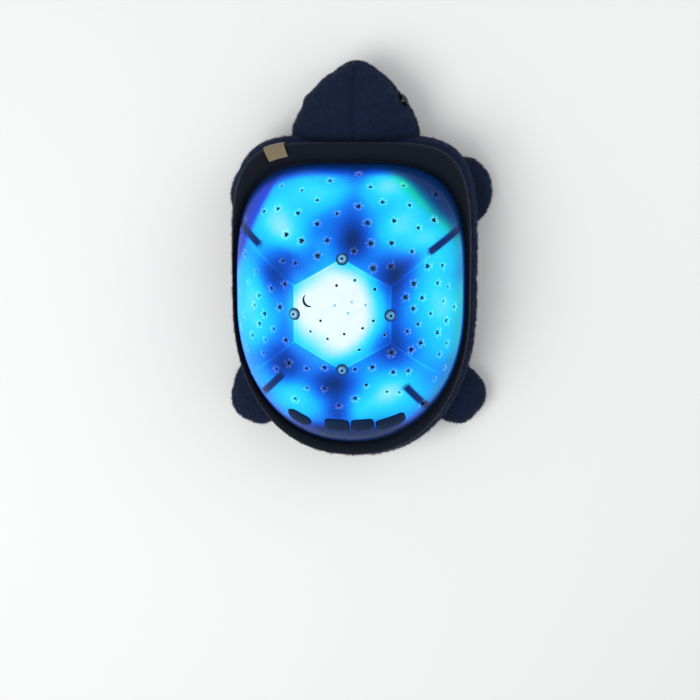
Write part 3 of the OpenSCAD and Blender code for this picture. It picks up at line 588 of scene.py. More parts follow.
def board_pattern(n, vector):
    """Copper tracks and pads that stand up a little under a coloured coat."""
    tracks = n.add("ShaderNodeTexBrick", offset=0.35)
    tracks.inputs["Scale"].default_value = 0.22
    tracks.inputs["Mortar Size"].default_value = 0.06
    n.link(vector, tracks.inputs["Vector"])
    pads = n.add("ShaderNodeTexVoronoi", feature="F1")
    pads.inputs["Scale"].default_value = 0.35
    n.link(vector, pads.inputs["Vector"])
    pad = n.math("LESS_THAN", pads.outputs["Distance"], 0.22)
    raised = n.math("MAXIMUM", tracks.outputs["Fac"], pad)
    return raised, raised


PATTERNS = {
    "moulded": ("Moulded grain", moulded_pattern),
    "plush": ("Plush pile", plush_pattern),
    "weave": ("Woven threads", weave_pattern),
    "brushed": ("Brushed metal", brushed_pattern),
    "board": ("Board tracks", board_pattern),
}


SHEEN_ROUGHNESS = 0.45
SHEEN_TINT = (0.45, 0.58, 0.95, 1)
COAT_ROUGHNESS = 0.08


def new_material(name):
    """A material with the default shader, and its nodes."""
    material = bpy.data.materials.new(name)
    material.use_nodes = True
    return material, Nodes(material.node_tree)


def finish(name, base, pattern="moulded", scale=2500, shade=(0.85, 1.12), roughness=(0.4, 0.55),
           bump=0.1, depth=0.05 * MM, metallic=0.0, second=None, glow=None, sheen=0.0, coat=0.0,
           specular=0.5):
    """A material on Object coordinates. The pattern's Shade runs the colour from base times shade's
    first number to base times its second, or from base to second, and the roughness over its own
    range. glow is a colour and a strength."""
    material, n = new_material(name)
    place = n.place()
    group = n.add("ShaderNodeGroup")
    group.node_tree = pattern_group(*PATTERNS[pattern])
    group.inputs["Scale"].default_value = scale
    n.link(place, group.inputs["Vector"])
    base = np.array(base)
    low = (*np.clip(base * shade[0], 0, 1), 1)
    high = (*(np.clip(base * shade[1], 0, 1) if second is None else second), 1)
    n.feed(Base_Color=n.mix(group.outputs["Shade"], low, high),
           Roughness=n.spread(group.outputs["Shade"], *roughness))
    n.relief(group.outputs["Height"], bump, depth)
    n.set(Metallic=metallic, Specular_IOR_Level=specular,
          Sheen_Weight=sheen, Sheen_Roughness=SHEEN_ROUGHNESS, Sheen_Tint=SHEEN_TINT,
          Coat_Weight=coat, Coat_Roughness=COAT_ROUGHNESS)
    if glow is not None:
        n.set(Emission_Color=(*glow[:3], 1), Emission_Strength=glow[3])
    return material


# ---- Shell ---------------------------------------------------------------------------------------

def scute_lines():
    """Start and end, in plan, of the crown's scute's six sides and of the six lines to the rim."""
    corners = polar(np.radians(90 - 60 * np.arange(6)), HEX_SIDE)
    ends = polar(SPOKE_ANGLES, SPOKE_END * shell_oval(SPOKE_ANGLES, SPOKE_END))
    return np.concatenate([np.stack([corners, np.roll(corners, -1, 0)], 1),
                           np.stack([corners, ends], 1)])


def line_distance(plan, lines):
    """Distance of each plan point from the nearest of the lines, given by start and end."""
    start, way = lines[:, 0], lines[:, 1] - lines[:, 0]
    away = plan[..., None, :] - start
    share = np.clip((away * way).sum(-1) / (way ** 2).sum(-1), 0, 1)
    return np.linalg.norm(away - share[..., None] * way, axis=-1).min(-1)


def stud_places():
    """The four studs' places in plan: the scute's front and rear corners and its sides' middles."""
    flat = HEX_SIDE * math.cos(math.radians(30))
    return np.array([[0, HEX_SIDE], [0, -HEX_SIDE], [flat, 0], [-flat, 0]])


def star_places():
    """Plan places and numbers of the holes: a golden-angle scatter with a small sway, kept off the
    lines, posts, studs, moon and buttons."""
    k = np.arange(STAR_TRIES)
    t = STAR_REACH * np.sqrt((k + 0.5) / STAR_TRIES)
    angle = np.radians(GOLDEN * k)
    swing = [np.sin(np.radians(SWAY_TURNS[0] * k)), np.cos(np.radians(SWAY_TURNS[1] * k))]
    places = polar(angle, t * shell_oval(angle, t)) + SWAY * np.stack(swing, -1)
    others = np.concatenate([POSTS, stud_places(), [MOON_AT]])
    free = line_distance(places, scute_lines()) > LINE_CLEAR
    free &= np.linalg.norm(places[:, None] - others, axis=-1).min(-1) > MARK_CLEAR
    free &= (np.abs(places[:, 0]) > BUTTON_FIELD[0]) | (places[:, 1] > BUTTON_FIELD[1] - BUTTON_ROW)
    return places[free], k[free]


def on_tangent(place, outline):
    """Plan points of an outline that lies on the dome's tangent plane at a plan place."""
    normal = dome_normal(chart_of(place))
    turn = math.atan2(normal[1], normal[0])
    tip = math.acos(normal[2])
    east = np.array([math.cos(tip) * math.cos(turn), math.cos(tip) * math.sin(turn)])
    north = np.array([-math.sin(turn), math.cos(turn)])
    return place + outline[:, :1] * east + outline[:, 1:] * north


def star_outline(d, spin):
    """Ten corners, by turns on the circle of diameter d and at its waist."""
    radius = d / 2 * np.where(np.arange(10) % 2 == 0, 1, STAR_WAIST)
    return polar(np.radians(36 * np.arange(10) + spin), radius)


def circle(d, count):
    """A circle's points, for its diameter."""
    return polar(turns(count), d / 2)


def moon_outline():
    """A crescent: the outer circle's far arc, and back along the circle that bites into it."""
    half = math.acos(MOON_BITE / MOON_D)
    outer = np.linspace(half, 2 * math.pi - half, 19)
    inner = np.linspace(math.pi + half, math.pi - half, 17)[1:-1]
    arcs = [polar(outer, MOON_D / 2), polar(inner, MOON_D / 2) + [MOON_BITE, 0]]
    return turned_by(np.concatenate(arcs), MOON_TURN)


BUTTON_OUT = np.array([0, -math.sin(BUTTON_LEAN), math.cos(BUTTON_LEAN)])
BUTTON_UP = np.array([0, math.cos(BUTTON_LEAN), math.sin(BUTTON_LEAN)])
BUTTON_ACROSS = np.array([1.0, 0, 0])


def dome_top(plan):
    """The dome's height over plan points."""
    return dome(chart_of(plan))[..., 2]


def button_origin():
    """The middle of the buttons' row, on the dome."""
    plan = np.array([0, -BUTTON_ROW])
    return np.array([0, SHELL_Y - BUTTON_ROW, dome_top(plan)])


def on_buttons(u, v, w):
    """Points at u across, v up the slope and w out along the lean from the middle of the row."""
    across, up, out = (np.multiply.outer(part, axis) for part, axis in
                       ((u, BUTTON_ACROSS), (v, BUTTON_UP), (w, BUTTON_OUT)))
    return button_origin() + across + up + out


def surface_out(u, v, rounds=14):
    """How far out along the buttons' lean the dome lies, at u across and v up the slope: the gap in
    height, times the lean's cosine, is added over and over."""
    w = np.zeros(np.shape(u))
    for _ in range(rounds):
        p = on_buttons(u, v, w)
        w = w + (dome_top(plan_of(p)) - p[..., 2]) * math.cos(BUTTON_LEAN)
    return w


def button_outline(button, grown=0.0, count=48):
    """A rounded rectangle's points, u and v, at even angles, where each ray leaves the shape."""
    _, across, up, width, length, turn, corner = button
    r = corner * MM + grown
    half = np.array([width / 2 * MM + grown, length / 2 * MM + grown])
    ray = polar(turns(count))
    flat = (half / np.maximum(np.abs(ray), 1e-9)).min(-1)
    core = half - r
    middle = core * np.sign(ray)
    along = (ray * middle).sum(-1)
    root = np.maximum(along ** 2 - (middle ** 2).sum(-1) + r ** 2, 0)
    rounded = along + np.sqrt(root)
    at_flat = np.abs(ray * flat[:, None])
    reach = np.where((at_flat > core + 1e-9).all(-1), rounded, flat)
    return turned_by(ray * reach[:, None], math.radians(turn)) + np.array([across, up]) * MM


def button_hole(button):
    """Plan points of the hole round a button."""
    u, v = button_outline(button, BUTTON_SLOT).T
    return plan_of(on_buttons(u, v, surface_out(u, v)))


def inside(points, loop):
    """Which points lie in the closed loop: those that its edges pass an odd number of times."""
    a, b = loop, np.roll(loop, -1, 0)
    x, y = points[:, None, 0], points[:, None, 1]
    spans = (a[:, 1] > y) != (b[:, 1] > y)
    rise = np.where(b[:, 1] == a[:, 1], 1e-12, b[:, 1] - a[:, 1])
    return ((x < a[:, 0] + (y - a[:, 1]) * (b[:, 0] - a[:, 0]) / rise) & spans).sum(1) % 2 == 1


def grown(outline, by):
    """A counter-clockwise outline with each corner moved out along its edges' mean normal."""
    along = unit(np.roll(outline, -1, 0) - outline)
    out = np.stack([along[:, 1], -along[:, 0]], -1)
    return outline + by * unit(out + np.roll(out, 1, 0))


# How far off its line, in mm, each row of points beside a scute line or a post's shadow lies, and
# how much room the even grid leaves them
LINE_ROWS = (-2.0, -1.2, -0.6, 0, 0.6, 1.2, 2.0)
SHADOW_ROWS = (-3.2, -2.4, -1.7, 0, 1.7, 2.4, 3.2)
LINE_ROOM = 2.5 * MM
SHADOW_ROOM = 3.8 * MM
# The share of the grid's step that free points keep from a hole, and the number of points past
# which a hole is long, so that the points are kept from its edge and not from a circle round it
HOLE_ROOM = 0.35
LONG_HOLE = 20


def rows_beside(lines, offsets, spacing):
    """Chart points of the dome in rows beside the lines."""
    rows = []
    for start, end in lines:
        way = end - start
        length = np.linalg.norm(way)
        side = np.array([-way[1], way[0]]) / length
        along = np.linspace(0, 1, int(length / spacing) + 1)[:, None, None]
        off = np.array(offsets)[None, :, None] * MM
        plan = (start + along * way + off * side).reshape(-1, 2)
        on_dome = np.linalg.norm(plan, axis=-1) < shell_oval(np.arctan2(plan[:, 1], plan[:, 0]))
        rows.append(chart_of(plan[on_dome]))
    return np.concatenate(rows)


def free_points(halos, spacing, step):
    """Chart points between the holes: a six-way grid, and rows beside the scute lines and the
    posts' shadows in its place there."""
    heights = np.arange(-1, 1, step * math.sin(math.radians(60)))
    grid = np.stack(np.meshgrid(np.arange(-1, 1, step), heights), -1)
    grid[1::2, :, 0] += step / 2
    grid = grid.reshape(-1, 2)
    lines = scute_lines()
    plan = plan_of(dome(grid))
    near = (line_distance(plan, lines) < LINE_ROOM) | (line_distance(plan, SHADOWS) < SHADOW_ROOM)
    free = np.concatenate([grid[~near], rows_beside(lines, LINE_ROWS, spacing),
                           rows_beside(SHADOWS, SHADOW_ROWS, spacing)])
    keep = np.linalg.norm(free, axis=-1) < 1 - step / 2
    for loop in halos:
        middle = loop.mean(0)
        reach = np.linalg.norm(loop - middle, axis=-1).max()
        close = np.linalg.norm(free - middle, axis=-1) < reach + HOLE_ROOM * step
        if len(loop) > LONG_HOLE:
            edge = np.linalg.norm(free[:, None] - loop[None], axis=-1).min(1) < HOLE_ROOM * step
            close &= edge | inside(free, loop)
        keep &= ~close
    return free[keep]


def dome_chart_mesh(loops, halos, spacing):
    """Chart points, triangles and each point's loop number (or -1) of the dome less its holes: the
    rim, the holes' loops, a row of points round each and the free points, in one constrained
    triangulation."""
    step = spacing / (math.pi / 2 * (SHELL_H + SHELL_HALF_W) / 2)
    rim = circle(2.0, int(2 * math.pi / step))
    rings = [ring for loop, ring in zip(loops, halos) if ring is not loop]
    points = np.concatenate([rim, *loops, *rings, free_points(halos, spacing, step)])
    edges, start = [], 0
    for loop in (rim, *loops):
        n = len(loop)
        edges += [(start + i, start + (i + 1) % n) for i in range(n)]
        start += n
    found = geometry.delaunay_2d_cdt([Vector(p) for p in points], edges, [], 0, 1e-7, True)
    chart = np.array([tuple(p) for p in found[0]])
    triangles = np.array(found[2])
    label = np.repeat(np.arange(-1, len(loops)), [len(rim), *(len(loop) for loop in loops)])
    owner = np.full(len(chart), -1)
    for i, sources in enumerate(found[3]):
        if sources and sources[0] < len(label):
            owner[i] = label[sources[0]]
    first = owner[triangles[:, 0]]
    same = (owner[triangles] == first[:, None]).all(1) & (first >= 0)
    middles = chart[triangles].mean(1)
    drop = np.zeros(len(triangles), bool)
    for k, loop in enumerate(loops):
        some = np.flatnonzero(same & (first == k))
        drop[some] = inside(middles[some], loop)
    return chart, triangles[~drop], owner


def border_edges(triangles):
    """The directed edges that only one triangle has."""
    edges = np.concatenate([triangles[:, [0, 1]], triangles[:, [1, 2]], triangles[:, [2, 0]]])
    size = triangles.max() + 1
    key, back = edges[:, 0] * size + edges[:, 1], edges[:, 1] * size + edges[:, 0]
    return edges[~np.isin(key, back)]


# The lamps' own bright patch on the crown's scute: its middle in plan (mm), its half widths and
# strength
HOT_PATCH = (-4.0, 4.0, 34, 40, 0.62)
# The share of it that the scute's sides stop, and from where to where past a side
HOT_STOP = (0.62, -0.4 * MM, 0.8 * MM)
# The light inside shows through each scute as a bright patch: its middle in plan (mm), its half
# widths, its turn in degrees and its strength
PATCHES = (
    (-44, 60, 17, 24, 40, 0.42), (-22, 84, 24, 14, -8, 0.34),
    (38, 62, 21, 22, 0, 0.34), (26, 88, 27, 13, 0, 0.32), (60, 48, 15, 20, -30, 0.24),
    (-66, 2, 18, 40, 0, 0.38), (67, 4, 19, 38, 0, 0.38),
    (-37, -62, 22, 16, -28, 0.35), (32, -58, 24, 17, 25, 0.42), (10, -68, 9, 12, 0, 0.14),
    (-31, 2, 8, 26, 0, 0.10),
)
# Painted shade: dark patches where little light reaches the shell, the same way
SHADE_PATCHES = (
    (7, 50, 12, 15, 0, 0.40), (7, 72, 8, 18, 0, 0.10), (7, 96, 10, 8, 0, 0.22),
    (34, 27, 14, 12, 35, 0.38), (48, 38, 15, 6, 35, 0.22), (-49, 27, 12, 13, 0, 0.40),
    (-36, 38, 15, 7, -30, 0.22), (-44, -36, 13, 13, 0, 0.35), (-5, -49, 16, 11, 0, 0.32),
    (-5, -70, 8, 16, 0, 0.21), (33, -22, 13, 13, 0, 0.28), (-40, -8, 5, 26, 0, 0.06),
    (36, 2, 5, 22, 0, 0.16), (-20, 40, 8, 6, -30, 0.12),
)
# The even light between the patches, and how much and over what size it wavers
EVEN_LIGHT = 0.43
WAVER = 0.03
WAVER_SIZE = 30 * MM
# The scute lines are a little brighter: how much, their width, where in shares of the outline's
# reach they fade, and which of them stay unlit
LINE_LIGHT = 0.11
LINE_WIDTH = 0.6 * MM
LINE_FADE = (0.78, 0.92)
UNLIT_LINES = (6, 9)
# The shadows that the posts throw outwards on the shell, as the start and end of each in plan
SHADOWS = np.array([
    [[-61, 47], [-78, 60]], [[60, 43], [79, 57]], [[-45, -46], [-61, -62]], [[44, -53], [60, -74]],
]) * MM
# The ways in plan towards the front corners, past which the light falls off
RIGHT_CORNER = np.array([0.70, 0.714])
LEFT_CORNER = np.array([-0.90, 0.44])
# Where the light falls off: the share that is lost, and from where to where. Towards the rim it
# goes by the share of the outline's reach and starts later by SIDE_DELAY at the sides; past the
# front corners, in a post's shadow, towards the rear and behind the row of three buttons it goes by
# distances in plan
RIM_FADE = (0.95, 0.90, 0.995)
SIDE_DELAY = 0.065
SIDES = (0.55, 0.95)
RIGHT_FADE = (0.84, 89 * MM, 102 * MM)
LEFT_FADES = ((0.45, 84 * MM, 88 * MM), (0.75, 90 * MM, 100 * MM))
SHADOW_FADE = (0.95, 1.8 * MM, 3.0 * MM)
REAR_FADE = (0.7, 78 * MM, 88 * MM)
BEHIND_ROW = (83 * MM, 90 * MM)
ROW_STARTS = (-24 * MM, -17 * MM)
BEHIND_LOSS = 0.9
# The painted light's tints near the edges, as what its colour is multiplied by, and where each
# comes in. The violet takes a little red from the blue as well
VIOLET = ([1.0, 0.72, 0.98], (82 * MM, 87 * MM))
VIOLET_RED = [0.13, 0.0, 0.0]
TEAL = ([0.3, 1.0, 0.58], (84 * MM, 94 * MM))
GREEN = ([0.6, 0.93, 0.74], (40 * MM, 66 * MM))
GREEN_SHARE = 0.9
GREEN_RIM = (0.86, 0.97)
# How the shell looks from dark to bright, in the display's own values
GLOW_STOPS = (0.0, 0.06, 0.16, 0.32, 0.48, 0.62, 0.76, 0.90, 1.0)
GLOW_COLOURS = np.array([
    [0, 4, 12], [0, 16, 52], [0, 40, 128], [4, 78, 196], [10, 130, 242], [16, 190, 255],
    [40, 220, 255], [160, 238, 255], [236, 252, 254],
]) / 255


def to_linear(display):
    """The display's own values as amounts of light."""
    return np.where(display <= 0.04045, display / 12.92, ((display + 0.055) / 1.055) ** 2.4)


def patch_sum(plan, patches):
    """The sum of oval patches, each strength times exp(-(x/a)^2 - (y/b)^2) in its own axes."""
    total = np.zeros(len(plan))
    for x, y, a, b, turn, strength in patches:
        cos, sin = math.cos(math.radians(turn)), math.sin(math.radians(turn))
        away = plan / MM - [x, y]
        along = (away[:, 0] * cos + away[:, 1] * sin) / a
        across = (away[:, 1] * cos - away[:, 0] * sin) / b
        total += strength * np.exp(-along ** 2 - across ** 2)
    return total


def smooth_step(x, low, high):
    """From 0 at low to 1 at high, as 3s^2 - 2s^3."""
    s = np.clip((x - low) / (high - low), 0, 1)
    return s * s * (3 - 2 * s)


def dimmed(level, x, share, low, high):
    """What is left of the light, where that share of it is lost as x goes from low to high."""
    return level * (1 - share * smooth_step(x, low, high))


def shell_level(plan, t):
    """The brightness from 0 to 1 of the light that shows through at plan points, whose share of the
    outline's reach is t."""
    level = EVEN_LIGHT + patch_sum(plan, PATCHES) - patch_sum(plan, SHADE_PATCHES)
    level += WAVER * ripple(np.pad(plan, ((0, 0), (0, 1))), WAVER_SIZE, 4)
    x, y, half_w, half_l, strength = HOT_PATCH
    away = ((plan[:, 0] / MM - x) / half_w) ** 2 + ((plan[:, 1] / MM - y) / half_l) ** 2
    turn = np.arctan2(plan[:, 1], plan[:, 0])
    sixth = (turn + math.pi / 6) % (math.pi / 3) - math.pi / 6
    past_side = np.linalg.norm(plan, axis=-1) * np.cos(sixth) - HEX_SIDE * math.cos(math.pi / 6)
    level += dimmed(strength * np.exp(-away ** 2), past_side, *HOT_STOP)
    lines = np.delete(scute_lines(), UNLIT_LINES, 0)
    lit = LINE_LIGHT * groove(line_distance(plan, lines), LINE_WIDTH)
    level += lit * (1 - smooth_step(t, *LINE_FADE))

    share, low, high = RIM_FADE
    low = low + SIDE_DELAY * smooth_step(np.abs(plan[:, 0]) / SHELL_HALF_W, *SIDES)
    level = dimmed(level, t, share, low, high)
    level = dimmed(level, plan @ RIGHT_CORNER, *RIGHT_FADE)
    for fade in LEFT_FADES:
        level = dimmed(level, plan @ LEFT_CORNER, *fade)
    share, low, high = SHADOW_FADE
    level = level * (1 - share * (1 - smooth_step(line_distance(plan, SHADOWS), low, high)))
    behind = smooth_step(-plan[:, 1], *BEHIND_ROW) * smooth_step(plan[:, 0], *ROW_STARTS)
    level = dimmed(level * (1 - BEHIND_LOSS * behind), -plan[:, 1], *REAR_FADE)
    return np.clip(level, 0, 1)


def shell_light(chart):
    """The colour of the light that shows through at chart points, and its brightness, 0 to 1."""
    plan = plan_of(dome(chart))
    t = np.sin(np.linalg.norm(chart, axis=-1) * math.pi / 2)
    level = shell_level(plan, t)
    shown = np.stack([np.interp(level, GLOW_STOPS, GLOW_COLOURS[:, c]) for c in range(3)], -1)
    near_rim = smooth_step(t, *GREEN_RIM)
    violet = shown * VIOLET[0] + np.array(VIOLET_RED) * shown[:, 2:]
    tints = ((violet, smooth_step(plan @ LEFT_CORNER, *VIOLET[1])),
             (shown * GREEN[0], GREEN_SHARE * smooth_step(plan[:, 0], *GREEN[1]) * near_rim),
             (shown * TEAL[0], smooth_step(plan @ RIGHT_CORNER, *TEAL[1])))
    for tint, amount in tints:
        shown = shown + (tint - shown) * amount[:, None]
    return to_linear(np.clip(shown, 0, 1)), level


# The mottle in the shell's painted glow, the patches in the painted lit edges along its holes, its
# gloss and its fine relief: each noise's scale and the range that it is spread over
GLOW_MOTTLE = (160.0, 0.88, 1.10)
EDGE_PATCHES = (90.0, 0.30, 1.0)
SHELL_GLOSS = (420.0, 0.20, 0.32)
SHELL_GRAIN = 900.0
# A lit edge is this times the glow, plus this
EDGE_GAIN = (1.7, 1.7, 1.7, 1)
EDGE_PALE = (0.24, 0.28, 0.40, 1)


def shell_material(settings):
    """Translucent moulded plastic: its light comes from the glow layer, mottled a little, and the
    walls of the holes are brighter than the face."""
    material, n = new_material("lit shell plastic")
    place = n.place()
    glow = n.attribute("glow")
    edge = n.attribute("lit_edge", "Fac")
    mottle = n.spread(n.noise(place, GLOW_MOTTLE[0], 4.0, 0.6), *GLOW_MOTTLE[1:])
    lit = n.mix(1.0, glow, mottle, "MULTIPLY")
    patchy = n.spread(n.noise(place, EDGE_PATCHES[0], 2.0), *EDGE_PATCHES[1:])
    rim = n.mix(1.0, n.mix(1.0, glow, EDGE_GAIN, "MULTIPLY"), EDGE_PALE, "ADD")
    lit = n.mix(n.math("MULTIPLY", n.math("POWER", edge, 1.5), patchy), lit, rim)
    # A little of the painted glow's colour is mixed into the plastic's base colour as well
    n.feed(Emission_Color=lit, Base_Color=n.mix(0.06, (*settings.plastic, 1), glow),
           Roughness=n.spread(n.noise(place, SHELL_GLOSS[0], 3.0), *SHELL_GLOSS[1:]))
    n.set(Emission_Strength=settings.glow, Specular_IOR_Level=0.07)
    n.relief(n.noise(place, SHELL_GRAIN, 2.0), 0.06, 0.1 * MM)
    return material


# An edge is lit where the light through the shell is at least about this bright
EDGE_LIGHT = (0.02, 0.20)
# The glow of the inner skin, of a hole's inner edge and of the skirt, as shares of the outer skin's
INNER_GLOW = 2.0
DEEP_GLOW = 0.3
SKIRT_GLOW = 0.2
SHELL_SHARP = 38


def pierced_shell(settings):
    """The dome as two skins joined along the rim and round every hole, with the flange that hides
    in the collar."""
    places, numbers = star_places()
    on_crown = np.linalg.norm(places, axis=-1) < HEX_SIDE * math.cos(math.radians(30))
    outlines = [(place, circle(DOT_D, 12) if dot else
                 star_outline(STAR_D * STAR_SIZES[k % len(STAR_SIZES)], STAR_SPIN * k))
                for place, k, dot in zip(places, numbers, on_crown)] + [(MOON_AT, moon_outline())]
    loops = [chart_of(on_tangent(place, outline)) for place, outline in outlines]
    halos = [chart_of(on_tangent(place, grown(outline, HALO_W))) for place, outline in outlines]
    plain = [chart_of(on_tangent(place, circle(2 * STUD_SEAT_R, 40))) for place in stud_places()]
    plain += [chart_of(button_hole(button)) for button in BUTTONS]
    chart, triangles, owner = dome_chart_mesh(loops + plain, halos + plain, settings.grid)

    outer = dome(chart)
    normal = dome_normal(chart)
    ridge = RIDGE_H * groove(line_distance(plan_of(outer), scute_lines()), RIDGE_HALF_W)
    inner = outer - normal * SHELL_WALL
    outer = outer + normal * ridge[:, None]
    glow, level = shell_light(chart)
    lit_edge = ((owner >= 0) & (owner < len(loops))) * smooth_step(level, *EDGE_LIGHT)
    border = border_edges(triangles)
    on_rim = np.linalg.norm(chart[border], axis=-1).min(1) > 1 - 1e-5
    rim, holes = border[on_rim], border[~on_rim]
    count = len(chart)

    # A hole's wall has points of its own, so that its edge stays crisp
    used, back = np.unique(holes, return_inverse=True)
    back = back.reshape(holes.shape)
    wall_out = 2 * count + back
    wall_in = wall_out + len(used)
    walls = np.stack([wall_out[:, 1], wall_out[:, 0], wall_in[:, 0], wall_in[:, 1]], -1)

    # Below the rim: the skirt, the flange's top and edge, and back under it to the inner skin
    start = 2 * count + 2 * len(used)
    rim_points, rim_back = np.unique(rim, return_inverse=True)
    rim_back = rim_back.reshape(rim.shape)
    angle = np.arctan2(chart[rim_points, 1], chart[rim_points, 0])
    profile = ((0, FLANGE_T - SKIRT_H), (FLANGE_W, FLANGE_T - SKIRT_H), (FLANGE_W, -SKIRT_H),
               (-SHELL_WALL, -SKIRT_H))
    bands = [level_ring(angle, shell_oval(angle, 1.0, -out), RIM_Z + drop) for out, drop in profile]
    faces = triangles.tolist() + (triangles[:, ::-1] + count).tolist() + walls.tolist()
    columns = [start + k * len(rim_points) + rim_back for k in range(len(profile))]
    columns = [rim, *columns, rim + count]
    for upper, lower in zip(columns[:-1], columns[1:]):
        faces += np.stack([upper[:, 1], upper[:, 0], lower[:, 0], lower[:, 1]], -1).tolist()

    points = np.concatenate([outer, inner, outer[used], inner[used], *bands])
    dark = np.tile(glow[rim_points], (len(profile), 1)) * SKIRT_GLOW
    colours = np.concatenate([glow, glow * INNER_GLOW, glow[used], glow[used] * DEEP_GLOW, dark])
    edge = np.concatenate([lit_edge, np.zeros(count),
                           lit_edge[used], np.zeros(len(used) + len(dark))])
    return (points, faces), colours, edge


def post_shape(place):
    """One hanging post: a straight round bar from under the dome's outer face, which its top
    follows, down to the flange's level."""
    plan = circle(2 * POST_R, 24) + place
    normal = dome_normal(chart_of(plan))
    under = dome_top(plan) - POST_DEPTH / normal[:, 2]
    foot = np.full(len(plan), RIM_Z - SKIRT_H)
    return loft(np.stack([np.concatenate([plan + [0, SHELL_Y], z[:, None]], 1)
                          for z in (foot, under)]))


class NIGHTLIGHT_OT_shell(bpy.types.Operator):
    """Makes the lit dome with its star, dot, moon, stud and button holes, and its hanging posts"""
    bl_idname = "nightlight.shell"
    bl_label = "Shell"

    def execute(self, context):
        settings = context.scene.nightlight_shell
        material = shell_material(settings)
        shape, colours, edge = pierced_shell(settings)
        piece("shell_surface", shape, "body", material, ("shell_dome",),
              sharp=SHELL_SHARP, colours={"glow": colours}, values={"lit_edge": edge})
        posts = joined([post_shape(place) for place in POSTS])
        # The posts carry a dim painted glow of their own
        dim = np.tile(GLOW_COLOURS[1:2], (len(posts[0]), 1)) * DEEP_GLOW
        piece("shell_posts", posts, "body", material, sharp=SHELL_SHARP,
              colours={"glow": dim}, values={"lit_edge": np.zeros(len(dim))})
        return {"FINISHED"}


# ---- Studs and buttons ---------------------------------------------------------------------------

def turned(profile, place, normal, sides):
    """A profile of (radius, height) stops turned round the normal at a place."""
    side = unit(np.cross([0, 1, 0], normal))
    ahead = np.cross(normal, side)
    ring = circle(2.0, sides)
    flat = profile[:, :1, None] * (ring[None, :, :1] * side + ring[None, :, 1:] * ahead)
    return loft(place + flat + profile[:, 1][:, None, None] * normal)


# A stud's brightness from its pin hole to its edge: share of its radius, and light
STUD_LIGHT = ((0.0, 0.0), (0.22, 0.0), (0.27, 0.75), (0.50, 0.80), (0.66, 0.42), (0.78, 0.10),
              (0.90, 0.02), (1.0, 0.0))
# A stud's light in the display's own values: each channel's share of the shell's level under it,
# and what is added to that
STUD_TINT = ([0.55, 0.42, 0.28], [0.06, 0.45, 0.72])


def stud_profile():
    """Radius and height stops of a stud: up its pin hole, out over its round cap, and in to its
    stem."""
    hole = [(STUD_HOLE_R, z) for z in STUD_HOLE_STOPS]
    cap = [(r, STUD_CROWN - STUD_CAP_R + math.sqrt(STUD_CAP_R ** 2 - r ** 2)) for r in STUD_RADII]
    half, edge = STUD_D / 2, cap[-1][1] - STUD_EDGE
    stem = [(half, edge), (half, 0.0), (STUD_STEM_R, 0.0), (STUD_STEM_R, -STUD_STEM_L)]
    return np.array(hole + cap + stem)


def stud_material():
    """Clear plastic lit from below: pale in the middle, with a dark ring towards its edge."""
    material = finish("clear stud", (0.003, 0.030, 0.095), scale=900, roughness=(0.06, 0.12),
                      bump=0.03, coat=0.12, specular=0.25)
    n = Nodes(material.node_tree)
    share = n.attribute("share", "Fac")
    glow = n.attribute("glow")
    ramp = n.add("ShaderNodeValToRGB")
    n.link(share, ramp.inputs["Fac"])
    stops = ramp.color_ramp.elements
    for at, shade in STUD_LIGHT[1:-1]:
        stops.new(at).color = (shade, shade, shade, 1)
    for end in (0, -1):
        stops[end].color = (*[STUD_LIGHT[end][1]] * 3, 1)
    n.feed(Emission_Color=n.mix(1.0, glow, ramp.outputs["Color"], "MULTIPLY"))
    n.set(Emission_Strength=1.0)
    return material


class NIGHTLIGHT_OT_studs(bpy.types.Operator):
    """Makes the four clear domed studs with their pin holes"""
    bl_idname = "nightlight.studs"
    bl_label = "Studs"

    def execute(self, context):
        profile = stud_profile()
        charts = chart_of(stud_places())
        normals = dome_normal(charts)
        bases = dome(charts) - STUD_SEAT * normals
        parts = [turned(profile, base, normal, STUD_SIDES) for base, normal in zip(bases, normals)]
        radius = np.concatenate([np.repeat(profile[:, 0], STUD_SIDES), [0, 0]])
        share = np.tile(radius / (STUD_D / 2), len(parts))
        level = shell_light(charts)[1][:, None]
        bright = to_linear(np.clip(level * STUD_TINT[0] + STUD_TINT[1], 0, 1))
        colours = np.repeat(bright, len(parts[0][0]), 0)
        piece("clear_studs", joined(parts), "body", stud_material(), ("lens_studs",),
              sharp=40, colours={"glow": colours}, values={"share": share})
        return {"FINISHED"}


def cap_top(uv, middle):
    """Height of a button's crowned top, along the lean: where a line meets the sphere that stands
    proud of the dome at the button's middle."""
    u, v = middle
    foot = on_buttons(u, v, surface_out(u, v))
    normal = dome_normal(chart_of(plan_of(foot)))
    centre = foot + (BUTTON_PROUD - BUTTON_CROWN_R) * normal
    base = on_buttons(uv[..., 0], uv[..., 1], 0.0) - centre
    along = base @ BUTTON_OUT
    return -along + np.sqrt(along ** 2 - (base ** 2).sum(-1) + BUTTON_CROWN_R ** 2)


def pin_end(name):
    """How low along the lean a button's CAD node reaches, which is its pin's end."""
    corners = mesh_arrays(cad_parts[name].data)[0]
    return ((corners - button_origin()) @ BUTTON_OUT).min()


# The sizes, as shares of a button's outline, at which its top is drawn
CAP_SHARES = 1 - np.concatenate([[0, 0.02, 0.05, 0.1, 0.17, 0.26], np.linspace(0.36, 0.96, 9)])


